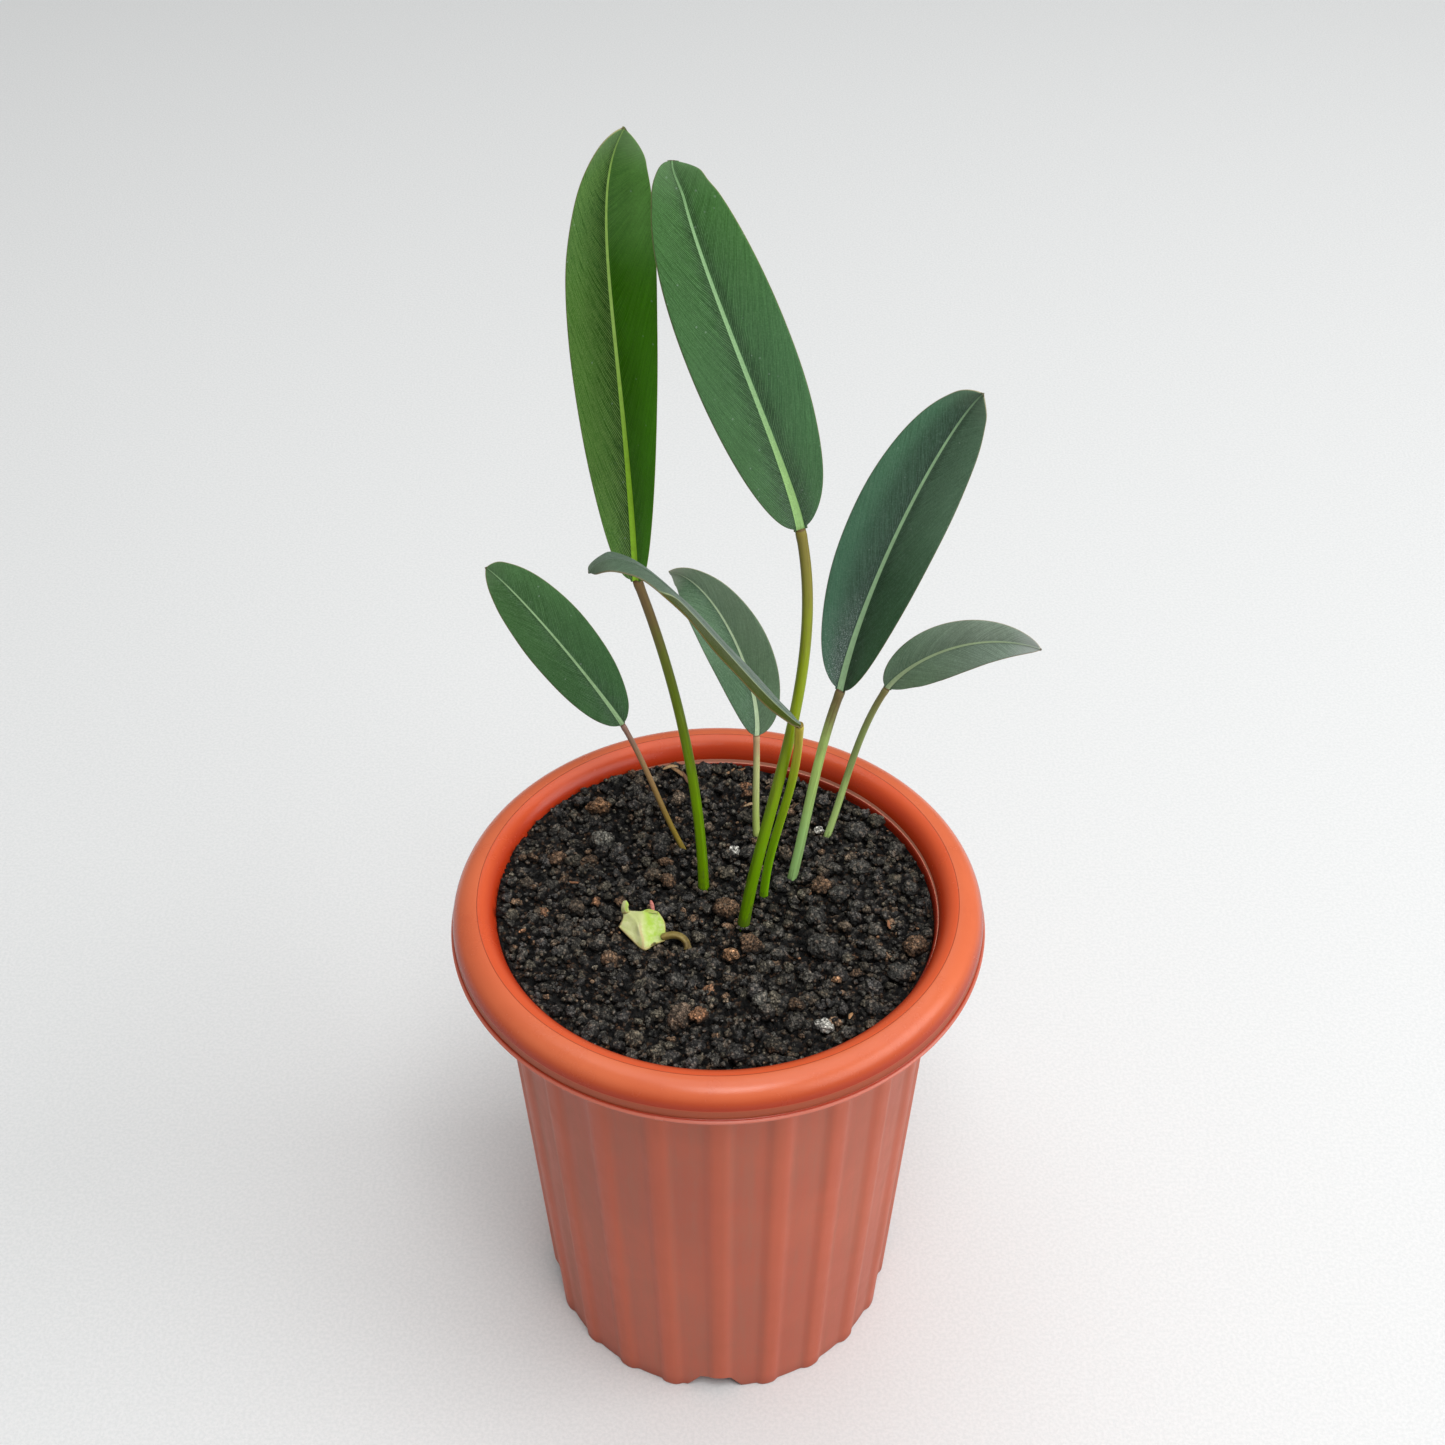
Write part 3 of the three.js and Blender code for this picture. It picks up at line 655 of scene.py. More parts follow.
# %% Leaves: sizes
LEAVES = {
    "tall_left": {
        "petiole": [[-6, 13, 229], [-7, 14, 283], [-15, 18, 334], [-30, 20, 384]],
        "midrib": [[-30, 20, 384], [-32, 25, 485], [-43.8, 19.2, 541.4], [-29.3, 18.6, 564.7]],
        "stem": 4.3, "width": 20, "widest": 1.05, "blunt": (0.37, 0.41),
        "fold": (32, 48.4), "facing": (-10, 18), "twist": 44.4,
    },
    "tall_right": {
        "petiole": [[10.5, -8, 229], [18, -7, 293], [42.5, 6, 353], [30, 6, 417]],
        "midrib": [[30, 6, 417], [24, -2, 455], [-13, -6, 544], [-11.5, 11, 556.5]],
        "stem": 4.8, "width": 19.2, "widest": 0.96, "blunt": (0.62, 0.54),
        "fold": (21, 20), "facing": (7, 32), "twist": -6,
    },
    "right": {
        "petiole": [[31, 18.5, 229], [37, 21, 261], [40, 27, 292], [49, 30, 322]],
        "midrib": [[49, 30, 322], [56, 32, 374], [85, 39, 441], [95, 30, 458]],
        "stem": 4.2, "width": 19.7, "widest": 0.93, "blunt": (0.58, 0.56),
        "fold": (24, 27), "facing": (-26, 23), "twist": 9,
    },
    "small_right": {
        "petiole": [[46.5, 43.5, 229], [54, 46, 256], [57, 48, 284], [69, 48, 308]],
        "midrib": [[69, 48, 308], [77, 46, 324], [101, 38, 347], [124.5, 21, 349]],
        "stem": 3.2, "width": 10.8, "widest": 0.94, "blunt": (0.62, 0.65),
        "fold": (15, 9), "facing": (15, 43), "twist": 5,
    },
    "small_left": {
        "petiole": [[-14.5, 35.5, 229], [-24, 37, 251], [-29, 39, 274], [-39, 42, 294]],
        "midrib": [[-39, 42, 294], [-50, 45, 314], [-79, 47, 360], [-89.5, 46, 370]],
        "stem": 2.5, "width": 14.5, "widest": 0.95, "blunt": (0.6, 0.6),
        "fold": (18, 17), "facing": (2, 49), "twist": 5,
    },
    "small_back": {
        "petiole": [[16.5, 44, 229], [15.5, 45, 248], [16.5, 46, 266], [16, 48, 283]],
        "midrib": [[16, 48, 283], [18, 54, 309], [-2, 68, 351], [-19.2, 77, 345.3]],
        "stem": 2.9, "width": 14.6, "widest": 0.88, "blunt": (0.62, 0.75),
        "fold": (30, 27), "facing": (15, 14), "twist": -21,
    },
    "arched": {
        "petiole": [[19, 8, 229], [20.5, 6, 267], [32, -5, 300], [31, -9, 337]],
        "midrib": [[31, -9, 337], [-2, -12, 378], [-27, -24, 442], [-44, -28, 422.5]],
        "stem": 3.8, "width": 14.3, "widest": 0.86, "blunt": (0.6, 0.6),
        "fold": (-3, -9), "facing": (96, 48), "twist": 20,
    },
}
MARGIN_THICKNESS = 0.7
MIDRIB_RIDGE = 0.5
MIDRIB_KEEL = 2.0
MIDRIB_TIP_SHARE = 0.25
BLADE_CAMBER = 0.12
TIP_POINT_LENGTH = 0.5
TIP_HALF_WIDTH = 0.6
# How far a tip leans to the right, how much fuller its left and right shoulders are, and how
# wide half of the blade still is at its very end.
TIPS = {
    "tall_left": (0, 0.3, 0.8, 1.5),
    "tall_right": (-2.3, -0.7, 2.1, 1.8),
    "right": (0, 0.6, 0.8, 0.9),
    "small_left": (0, 0, 0.5, 0.6),
    "small_back": (0, 1.3, 0, 0.9),
}
SHOULDER_AT, SHOULDER_SPREAD = 0.955, 0.04
PETIOLE_BURIED = 30
# Each petiole's thickness at the mix and below the blade, as shares of its stem size.
PETIOLE_SHARES = {
    "tall_left": (1.1, 0.85), "tall_right": (1.08, 0.83), "right": (1.0, 0.9),
    "small_right": (0.98, 0.9), "small_left": (0.98, 0.9), "small_back": (1.12, 0.92),
    "arched": (0.98, 0.88),
}

# %% Leaves: curves


def bezier(handles, t):
    """Points of a cubic Bezier curve: each handle weighted by its Bernstein polynomial."""
    t = t[:, None]
    h = np.array(handles, float)
    return ((1 - t) ** 3 * h[0] + 3 * (1 - t) ** 2 * t * h[1]
            + 3 * (1 - t) * t ** 2 * h[2] + t ** 3 * h[3])


def bezier_along(handles, t):
    """The curve's unit direction: its derivative, brought to length one."""
    t = t[:, None]
    h = np.diff(np.array(handles, float), axis=0)
    step = (1 - t) ** 2 * h[0] + 2 * (1 - t) * t * h[1] + t ** 2 * h[2]
    return step / np.linalg.norm(step, axis=1, keepdims=True)


def curve_length(points):
    """The length of a curve: the sum of the distances from point to point."""
    return np.linalg.norm(np.diff(points, axis=0), axis=1).sum()


def square_to(along, up):
    """up, made square to along and brought to length one."""
    up = up - (up * along).sum(-1, keepdims=True) * along
    return up / np.linalg.norm(up, axis=-1, keepdims=True)


def blade_frame(leaf, t, lean=0):
    """The midrib's points with the blade's along, across and up directions. up starts as the
    facing direction, is made square to along, and turns about it by the twist times t. Near
    the tip the points move aside by the lean."""
    at = bezier(leaf["midrib"], t)
    along = bezier_along(leaf["midrib"], t)
    azimuth, elevation = np.radians(leaf["facing"])
    level = np.cos(elevation)
    facing = np.array([np.sin(azimuth) * level, -np.cos(azimuth) * level, np.sin(elevation)])
    up = square_to(along, np.broadcast_to(facing, along.shape))
    turn = (np.radians(leaf["twist"]) * t)[:, None]
    up = up * np.cos(turn) + np.cross(along, up) * np.sin(turn)
    across = np.cross(along, up)
    return at + (lean * ease_between(t, 0.85, 1.0))[:, None] * across, along, across, up


# %% [markdown]
# ## A blade
# One section of the blade is a closed ring: over the top from the left margin to the right
# one, and back underneath. Its thickness falls to nothing at the margins like a half circle,
# so that they are round. The midrib is a low round ridge above and a deeper keel below. A
# faint wave runs along both margins, as on any leaf that has grown rather than been cut.

# %% Blades: outline
BLADE_ROWS = 100
BLADE_COLUMNS = 46
MARGIN_WAVE = 0.45
MARGIN_ROUND = 0.5
VEIN_LEAN = 1.4
VEIN_BEND = 0.07
RIDGE_SHARE = 0.62


def blade_shares():
    """Places across the blade, from -1 at the left margin to 1 at the right, closer together
    towards both margins."""
    even = np.linspace(-1, 1, BLADE_COLUMNS + 1)
    return between(even, np.sin(even * np.pi / 2), 0.45)


def blade_widths(leaf, t, end):
    """Half the blade's width, width * sin(pi * t ** widest) ** blunt, never less than the
    midrib needs or the tip has. Also half the midrib's width, and how deep its keel is."""
    outline = np.maximum(np.sin(np.pi * t ** leaf["widest"]), 0) ** between(*leaf["blunt"], t)
    rib = 0.45 * leaf["stem"] * between(1, MIDRIB_TIP_SHARE, t)
    half = np.maximum.reduce([leaf["width"] * outline, rib * 1.3, np.full_like(t, end)])
    return half, rib, MIDRIB_KEEL * between(leaf["stem"] / 5, MIDRIB_TIP_SHARE, t)


# %% Blades: skin


def build_blade(name, leaf, seed):
    """A point at share s lies half * |s| * cos(fold) out from the midrib and half * (|s| *
    sin(fold) + camber * |s| * (1 - |s|)) up. The first ring is cut square to the petiole."""
    lean, left_shoulder, right_shoulder, end = TIPS.get(name, (0, 0, 0, TIP_HALF_WIDTH))
    t = (1 - np.cos(np.pi * np.arange(BLADE_ROWS + 1) / BLADE_ROWS)) / 2
    at, along, across, up = blade_frame(leaf, t, lean)
    half, rib, keel = (values[:, None] for values in blade_widths(leaf, t, end))
    t = t[:, None]
    top = blade_shares()
    shares = np.concatenate([top, top[-2:0:-1]])[None]
    upper = np.concatenate([np.ones(len(top)), np.zeros(len(top) - 2)])[None]
    u, sign = np.abs(shares), np.sign(shares)
    fold = np.radians(np.where(shares < 0, *leaf["fold"]))
    shoulder = np.exp(-((t - SHOULDER_AT) / SHOULDER_SPREAD) ** 2)
    half = half + shoulder * np.where(shares < 0, left_shoulder, right_shoulder)
    wave = np.sin(t * 19 + seed) * np.sin(t * 7.3 + 2 * seed) * sign
    wave = wave * u ** 3 * ease_between(half, 4, 8) * (1 - ease_between(t, 0.78, 0.92))
    rise = half * (u * np.sin(fold) + BLADE_CAMBER * u * (1 - u)) + MARGIN_WAVE * wave
    reach = rib * np.where(upper > 0, RIDGE_SHARE, 1)
    middle = np.clip(1 - (u * half / reach) ** 2, 0, 1) ** 1.5
    inward = (1 + (u * half - half) / MARGIN_ROUND).clip(0)
    thick = MARGIN_THICKNESS / 2 * np.sqrt(np.clip(1 - inward ** 2, 0, 1))
    skin = np.where(upper > 0, thick + MIDRIB_RIDGE * middle, -thick - keel * middle)
    rings = carry(at, across, up, sign * u * half * np.cos(fold), rise + skin)
    foot, foot_way = (curve(leaf["petiole"], np.ones(1))[0] for curve in (bezier, bezier_along))
    rings[0] -= ((rings[0] - foot) @ foot_way)[:, None] * foot_way
    mucro = at[-1] + (rings[-1] - at[-1]) * 0.25 + along[-1] * TIP_POINT_LENGTH
    rings = np.concatenate([rings, mucro[None]])
    out = u * half
    length = curve_length(bezier(leaf["midrib"], np.linspace(0, 1, 60)))
    layers = {
        "along": t, "share": shares, "upper": upper, "rib": out / rib, "out": out * sign,
        "edge": half - out, "vein": t * length - VEIN_LEAN * out - VEIN_BEND * out ** 2,
    }
    layers = {key: np.broadcast_to(values, out.shape) for key, values in layers.items()}
    layers = {key: np.concatenate([values, values[-1:]]) for key, values in layers.items()}
    return tube(f"leaf_blade_{name}", rings * MM, layers)


# %% [markdown]
# ## The blade's finish
# On the leaf, fine side veins leave the midrib at a steep lean and bend towards the margin.
# The blade carries a coordinate that is constant along a vein, so a wave and a stretched
# noise on that coordinate draw them. Young leaves are bright and satin, older ones dark with
# a dull bluish bloom. The margin is a thin reddish-brown line with a cream edge, the tip
# dries out grey-brown, and dust lies on the blade in fine pale specks. Light is painted in
# too: shade beside the midrib and in its grooves, part of the side veins' sheen, and a pale
# gleam with glints beside the midrib.

# %% Blades: colours
# left and right are the two halves, each at its foot and towards its tip, and change is where
# along the blade the one turns into the other. outer is how much lighter each half gets
# towards its margin, shade how much painted shade darkens it beside the midrib, veins how
# clear its side veins are, partly as a painted sheen, powder how much dust lies in short dashes
# between them, and pale the colour of both. rib is the midrib's colour, rib_far the same
# towards the tip, rib_share its width. sheen is a painted pale bluish reflection beside it,
# with its side: -1 left, 0 both. tip is the dry tip's colour and amount, under the underside,
# and rolled the same where a left margin is rolled over. bloom, cream, gloss and shine are
# the haze, the pale margin line, the roughness and how clearly the blade mirrors light. A look
# gives only what differs from the usual one.
USUAL_LOOK = {
    "change": (0.2, 0.8), "outer": (0.1, 0.12), "shade": (0.1, 0.1), "veins": (0.25, 0.25),
    "powder": (0.25, 0.25), "rib_share": 0.6, "sheen": (0.1, 0), "bloom": 0.15, "shine": 0.22,
    "cream": 0.5,
}
LOOKS = {
    # tall_left's halves are partly painted light: the left half painted lighter, the right half
    # darker.
    "tall_left": {
        "left": ("#477a29", "#4a7a37"), "right": ("#367000", "#57883f"), "change": (0.5, 0.75),
        "outer": (0.15, 0.25), "shade": (0.35, 0.1), "veins": (0.95, 0.2), "pale": "#98ba6c",
        "powder": (0.25, 0.0), "rib": "#93c236", "rib_far": "#b2da70", "rib_share": 0.56,
        "bloom": 0.05, "tip": ("#728e64", 0.6), "under": "#66893a", "gloss": 0.46, "shine": 0.06,
    },
    "tall_right": {
        "left": ("#335c30", "#2e5e1f"), "right": ("#3f6f40", "#3f7230"), "change": (0.4, 0.85),
        "outer": (0.12, 0.14), "shade": (0.35, 0.45), "veins": (0.5, 0.55), "pale": "#7aa272",
        "powder": (0.15, 0.2), "rib": "#98c278", "rib_far": "#98c28a", "rib_share": 0.54,
        "sheen": (0.15, 0), "bloom": 0.08, "tip": ("#587650", 0.5), "under": "#5f8347",
        "gloss": 0.46,
    },
    "right": {
        "left": ("#315640", "#34593f"), "right": ("#2a4e2d", "#506d54"), "change": (0.2, 0.7),
        "outer": (1.1, 0.25), "shade": (0.3, 0.35), "veins": (0.6, 0.2), "pale": "#748f80",
        "powder": (0.3, 0.2), "rib": "#9fc496", "rib_share": 0.56, "sheen": (1.0, -1),
        "tip": ("#6b806a", 0.5), "under": "#557546", "gloss": 0.42,
    },
    "small_right": {
        "left": ("#5f7d62", "#879887"), "right": ("#6d8a6c", "#7c8f7f"), "outer": (0.1, 0.1),
        "pale": "#a2b09e", "powder": (0.2, 0.2), "rib": "#acc096", "rib_share": 0.5,
        "bloom": 0.3, "tip": ("#a0a6a2", 0.8), "under": "#6d7f55", "gloss": 0.55,
    },
    "small_left": {
        "left": ("#2e552a", "#305627"), "right": ("#3c683a", "#3f6838"), "shade": (0.2, 0.2),
        "veins": (0.35, 0.35), "pale": "#6f8c68", "rib": "#93b484", "sheen": (0.15, 0),
        "tip": ("#4c6444", 0.5), "under": "#5d7c45", "gloss": 0.52, "shine": 0.18,
    },
    "small_back": {
        "left": ("#4c6f50", "#5b7c5c"), "right": ("#70906e", "#839e81"), "outer": (0.0, 0.0),
        "pale": "#97aa92", "rib": "#c4dab2", "sheen": (0.2, 0), "bloom": 0.3,
        "tip": ("#b0bca8", 0.75), "under": "#6a8058", "gloss": 0.55,
    },
    "arched": {
        "left": ("#67766c", "#4f6350"), "right": ("#67766c", "#5a6d5f"), "change": (0.5, 0.62),
        "outer": (0.0, 0.1), "shade": (0.1, 0.2), "veins": (0.1, 0.3), "pale": "#8b9a8a",
        "powder": (0.1, 0.3), "rib": "#6a776b", "rib_share": 0.22, "bloom": 0.12,
        "rolled": "#3a450a", "cream": 0.25, "tip": ("#5f6c58", 0.5), "under": "#59682c",
        "gloss": 0.5, "shine": 0.12,
    },
}
VEIN_SPACING = 1.2

# %% Blades: patterns


class LeafFinish(Finish):
    """A finish that knows a blade's stored values and the patterns that follow them."""

    def __init__(self, name):
        super().__init__(name)
        place = self.spot = self.place()
        self.along, self.share, self.rib = (self.layer(key) for key in ("along", "share", "rib"))
        vein, out = self.layer("vein"), self.layer("out")
        self.right_half = self.ease(self.share, -0.05, 0.05)
        drift = self.noise(place, 90, 2)
        wave = self.maths("SINE", (vein * (1 / VEIN_SPACING) + drift * 2.2) * 6.2832)
        self.threads = self.vein_noise(vein * 1.1, out * 0.1, 0.6)
        self.dashes = self.vein_noise(vein * 3.0, out * 0.7, 0.7)
        self.cloud = self.noise(place, 38, 4, 0.6)
        self.mottle = self.noise(place, 420, 4, 0.65)
        self.grain = self.noise(place, 1500, 2, 0.6)
        self.lines = self.ease(wave, 0.1, 1.0) * self.ease(self.threads, 0.3, 0.58)
        self.lines = self.lines * (0.5 + self.dashes)

    def vein_noise(self, x, y, rough):
        """Noise that is drawn out along the side veins."""
        return self.noise(self.node("CombineXYZ", {}, {"X": x, "Y": y}), 1.0, 3, rough)

    def by_half(self, values):
        """The first value on the left half of the blade, the second on the right one."""
        return values[0] + (values[1] - values[0]) * self.right_half


# %% Blades: green and dust


def blade_green(f, look):
    """The upper side's green. Beside the midrib it is darker as painted shade, towards the margin
    lighter, and between the pale side veins darker again: the veins and this contrast are partly a
    painted sheen."""
    far = f.ease(f.along + (f.cloud - 0.5) * 0.1, *look["change"])
    halves = [f.mix(far, paint(foot), paint(tip)) for foot, tip in (look["left"], look["right"])]
    # painted shade in the crease beside the midrib
    near = f.ease(f.rib, 0.7, 1.0) * f.fade(f.rib, 1.2, 4.5)
    away = f.maths("ABSOLUTE", f.share)
    light = 1 + f.by_half(look["outer"]) * f.ease(away, 0.35, 0.85)
    light = light * (1 - near * f.by_half(look["shade"]))
    for pattern, amount in ((f.cloud, 0.5), (f.threads, 1.0), (f.grain, 0.6), (f.dashes, 0.8)):
        light = light * (1 + (pattern - 0.5) * amount)
    # side veins: partly real veins, partly a painted sheen on their relief
    light = light * (1 - 0.4 * f.by_half(look["veins"]) * (1 - f.lines))
    blade = f.shade(f.mix(f.right_half, *halves), light * 1.08)
    return f.coats(blade, (f.lines * f.by_half(look["veins"]) * 0.75, look["pale"]))


def blade_dust(f, look, blade):
    """Lays pale powder, the bluish bloom, a painted gleam beside the midrib, which is a painted
    reflection with painted glints, and single specks over the green. Gives back the colour, and how
    much they change the roughness."""
    amount, side = look["sheen"]
    powder = f.ease(f.dashes * 0.55 + f.grain * 0.45, 0.47, 0.66) * f.by_half(look["powder"])
    bloom = f.ease(f.mottle * 0.6 + f.cloud * 0.4, 0.42, 0.66)
    bloom = bloom * (0.35 + 0.65 * f.fade(f.rib, 3.5, 9))
    # painted reflection: a pale bluish gleam beside the midrib
    gleam = f.fade(f.rib, 1.2, 6.0) * f.ease(f.along, 0.02, 0.42, 1, 0.05)
    gleam = gleam + f.fade(f.rib, 5, 14) * f.fade(f.along, 0.08, 0.32, 0.6)
    gleam = f.ease(f.rib, 0.8, 1.0) * gleam
    # painted glints within the gleam
    glitter = f.noise(f.spot, 2400, 2, 0.7)
    gleam = gleam * (0.12 + 1.5 * f.ease(glitter * 0.6 + f.dashes * 0.4, 0.5, 0.66))
    if side < 0:
        gleam = gleam * (1 - f.right_half)
    specks = f.fade(f.cells(f.spot, 330), 0.08, 0.16)
    specks = specks * f.ease(f.cell_share(f.spot, 330), 0.82, 0.9)
    blade = f.coats(
        blade,
        (powder, look["pale"]),
        (bloom * look["bloom"] * 0.45, "#8a9f92"),
        (gleam * amount * 0.55, "#aebfbd"),
        (specks * 0.26, "#aebfb4"),
    )
    return blade, 0.15 * bloom * look["bloom"] - 0.12 * gleam * amount


def rolled_margin(f, look, blade):
    """The olive underside of a left margin that is rolled over, with a pale crease along it."""
    past = f.maths("ABSOLUTE", f.share) - (0.37 + f.ease(f.along, 0.52, 0.7, 0, 0.7))
    olive = f.shade(paint(look["rolled"]), 0.7 + 0.6 * f.threads)
    blade = f.mix(f.ease(past, -0.04, 0.05) * (1 - f.right_half), blade, olive)
    crease = f.ease(past, -0.07, -0.02) * f.fade(past, 0.0, 0.05, 0.65) * f.fade(f.along, 0.6, 0.7)
    return f.coats(blade, (crease * (1 - f.right_half), "#a9b586"))


# %% Blades: midrib, margin and the whole finish


def midrib_over(f, look, colour, blade):
    """Draws the midrib with a dark groove of painted shade along each side. Towards the tip it
    turns into the blade's own colour."""
    rib, rib_far = paint(look["rib"]), paint(look.get("rib_far", look["rib"]))
    midrib = f.mix(f.ease(f.along, 0.12, 0.5), rib, rib_far)
    midrib = f.shade(midrib, 0.85 + 0.5 * (f.mottle - 0.2) * (0.5 + f.grain))
    midrib = f.shade(midrib, 1 + f.fade(f.along, 0.1, 0.3, 0.1))
    midrib = f.mix(f.ease(f.along, 0.7, 1.0, 0, 0.7), midrib, blade)
    width = look["rib_share"] * (1 + f.fade(f.along, 0, 0.4, 0.42))
    band = f.fade(f.rib + (f.mottle - 0.5) * 0.12, width - 0.07, width + 0.07)
    # painted shade in the groove along each side of the midrib
    groove_shade = f.ease(f.rib, width, width + 0.1) * f.fade(f.rib, width + 0.12, width + 0.5)
    return f.mix(groove_shade * 0.3, f.mix(band, colour, midrib), (0.01, 0.03, 0.01, 1))


def leaf_skin(name, look):
    """The upper side, with the underside, margin, midrib and tip laid over it."""
    f = LeafFinish(f"leaf_{name}")
    blade, dust_and_painted_light = blade_dust(f, look, blade_green(f, look))
    if "rolled" in look:
        blade = rolled_margin(f, look, blade)
    tip_colour, tip_amount = look["tip"]
    tip = f.ease(f.along + (f.cloud - 0.5) * 0.12, 0.82, 0.98) * tip_amount
    blade = f.coats(blade, (tip, tip_colour))
    under = f.coats(paint(look["under"]), (f.ease(f.threads, 0.3, 0.7, 0, 0.4), "#4d6133"))
    edge = f.layer("edge")
    colour = f.coats(
        midrib_over(f, look, f.mix(f.layer("upper"), under, blade), blade),
        (f.fade(edge + (f.mottle - 0.5) * 0.3, 0.12, 0.4) * 0.42, "#7d5a3a"),
        (f.fade(edge, 0.03, 0.14) * look["cream"], "#c6bb93"),
        (f.ease(f.along, 0.9992, 0.9999, 0, 0.6), "#5a4330"),
    )
    veins = f.relief(f.lines * 0.5 + f.threads * 0.3 + f.dashes * 0.4, 0.2 * MM, 0.7)
    bump = f.relief(f.mottle * 0.6 + f.grain * 0.4, 0.16 * MM, 0.5, veins)
    return f.complete(colour, look["gloss"] + 0.2 * (f.mottle - 0.5) + dust_and_painted_light, bump, look["shine"])


DARK_BLADES = ("right", "small_right", "small_back", "arched")
for number, (name, leaf) in enumerate(LEAVES.items()):
    blade = build_blade(name, leaf, 1.7 * number)
    slot = "blade_dark" if name in DARK_BLADES else "blade"
    dress(blade, leaf_skin(name, {**USUAL_LOOK, **LOOKS[name]}), slot, f"blade_{name}")

# %% [markdown]
# ## Petioles
# A petiole is a firm round stalk, stouter at its foot, with a shallow channel down its front
# and a slight swelling at the collar. The radius is a function of the angle and of the place
# along the curve. Its colour runs from fresh green at the mix to olive and reddish brown
# below the blade, with fine lengthwise streaks, so the skin carries a stretched coordinate.

# %% Petioles
PETIOLE_ROWS = 60
PETIOLE_COLUMNS = 20
STREAK_STRETCH = 0.02
# Each stalk's foot, middle and top colours. The bright green feet of several stalks are partly
# painted light: coloured as lit where the leaves shade them.
STALKS = {
    "tall_left": ("#78a806", "#667c0e", "#6f5a38"),
    "tall_right": ("#6c9c02", "#86980e", "#827836"),
    "right": ("#aad886", "#accb72", "#736640"),
    "small_right": ("#bfe088", "#8a9c5e", "#868051"),
    "small_left": ("#9c8538", "#a5845a", "#957466"),
    "small_back": ("#d0e880", "#d8e29c", "#d2b288"),
    "arched": ("#8cd008", "#98bc1c", "#b4a83c"),
}


def bump_at(value, middle, spread):
    """A bell curve: 1 where the value is at the middle, and nearly 0 two spreads away."""
    return np.exp(-((value - middle) / spread) ** 2)


def build_petiole(name, leaf):
    """radius = stem / 2 * (foot share to top share along sqrt(t)), less a shallow channel on
    the side that faces the front, plus a small swelling just below the collar."""
    t = np.linspace(0, 1, PETIOLE_ROWS)
    at, along = bezier(leaf["petiole"], t), bezier_along(leaf["petiole"], t)
    length = curve_length(at)
    at = np.concatenate([(at[0] - along[0] * PETIOLE_BURIED)[None], at])
    along = np.concatenate([along[:1], along])
    t = np.concatenate([[0], t])[:, None]
    facing = blade_frame(leaf, np.zeros(1))[3][0]
    up = square_to(along, np.broadcast_to(facing, along.shape))
    across = np.cross(along, up)
    angle = lap(PETIOLE_COLUMNS)[None]
    from_top = (1 - t) * length
    collar = 0.09 * bump_at(from_top, 2.2, 1.3) - 0.05 * bump_at(from_top, 0.4, 0.5)
    from_front = np.abs((angle + np.pi / 2) % (2 * np.pi) - np.pi)
    channel = 0.07 * bump_at(from_front, 0, 0.42) * ease_between(from_top, 2, 12)
    share = between(*PETIOLE_SHARES[name], np.sqrt(t))
    radius = leaf["stem"] / 2 * (share + collar - channel)
    rings = carry(at, across, up, -radius * np.cos(angle), radius * np.sin(angle))
    way = np.broadcast_arrays(np.cos(angle), np.sin(angle), from_top * STREAK_STRETCH)
    layers = {"along": t, "from_top": from_top, "lap": np.stack(way, -1)}
    return tube(f"leaf_stalk_{name}", rings * MM, layers)


def stalk_skin(name, colours):
    """Green to brown along the stalk, streaked lengthwise and ringed at the collar, with painted
    shade on its two flanks.
    """
    f = Finish(f"stalk_{name}")
    lap_place = f.layer("lap", "Vector")
    streaks = f.noise(lap_place, 2.6, 4, 0.65)
    blotch = f.noise(f.place(), 140, 3, 0.6)
    where = f.layer("along") + (blotch - 0.5) * 0.22 + (streaks - 0.5) * 0.2
    foot, middle, top = colours
    green = (f.ease(where, 0.12, 0.62), middle), (f.ease(where, 0.62, 0.97), top)
    colour = f.coats(paint(foot), *green)
    colour = f.mix(f.ease(streaks, 0.5, 0.75, 0, 0.35), colour, (0.05, 0.05, 0.01, 1))
    colour = f.coats(
        colour,
        (f.fade(streaks, 0.2, 0.42, 0.22), "#b9c48a"),
        (f.fade(f.layer("from_top"), 0.15, 0.8) * 0.7, "#5c3c2a"),
    )
    # painted shade: the stalk's two flanks are darker
    flank = f.maths("ABSOLUTE", f.axis(lap_place, "X"))
    colour = f.shade(colour, 1.04 - 0.26 * f.ease(flank, 0.62, 1.0))
    colour = f.coats(colour, (f.fade(where, 0.0, 0.05) * 0.45, "#3f3a20"))
    bump = f.relief(streaks * 0.7 + blotch * 0.3, 0.2 * MM, 0.45)
    return f.complete(colour, 0.36 + 0.2 * (blotch - 0.3), bump, shine=0.2)


for name, leaf in LEAVES.items():
    stalk = build_petiole(name, leaf)
    slot = "petiole_brown" if name == "small_left" else "petiole"
    dress(stalk, stalk_skin(name, STALKS[name]), slot, f"petiole_{name}")

# %% [markdown]
# ## Potting mix
# The mix is loose volcanic gravel. Scattered stones alone would show the floor between them,
# and a rough surface alone would look like cloth, so there are two layers: a bed whose
# surface is already a heap of rounded bumps, and stones of many sizes that lie in it. Every
# stone is a ball of points pushed in by random flat cuts and small lumps, which gives the
# blunt, broken shape of the real grains.

# %% Mix: level
MIX_LEVEL_Z = 228.5
MIX_BANK_RISE = 6.5
MIX_BANK_AZIMUTH = math.radians(160)
GAP = 0.3
POT_EDGE = LEDGE_RADIUS / MM


def mix_level(x, y):
    """The mix is level, and banks up towards one side: rise * towards * distance, both as
    shares of the pot's inner radius."""
    towards = turned(x, y, -MIX_BANK_AZIMUTH)[0].clip(0) / POT_EDGE
    return MIX_LEVEL_Z + MIX_BANK_RISE * towards * np.hypot(x, y) / POT_EDGE


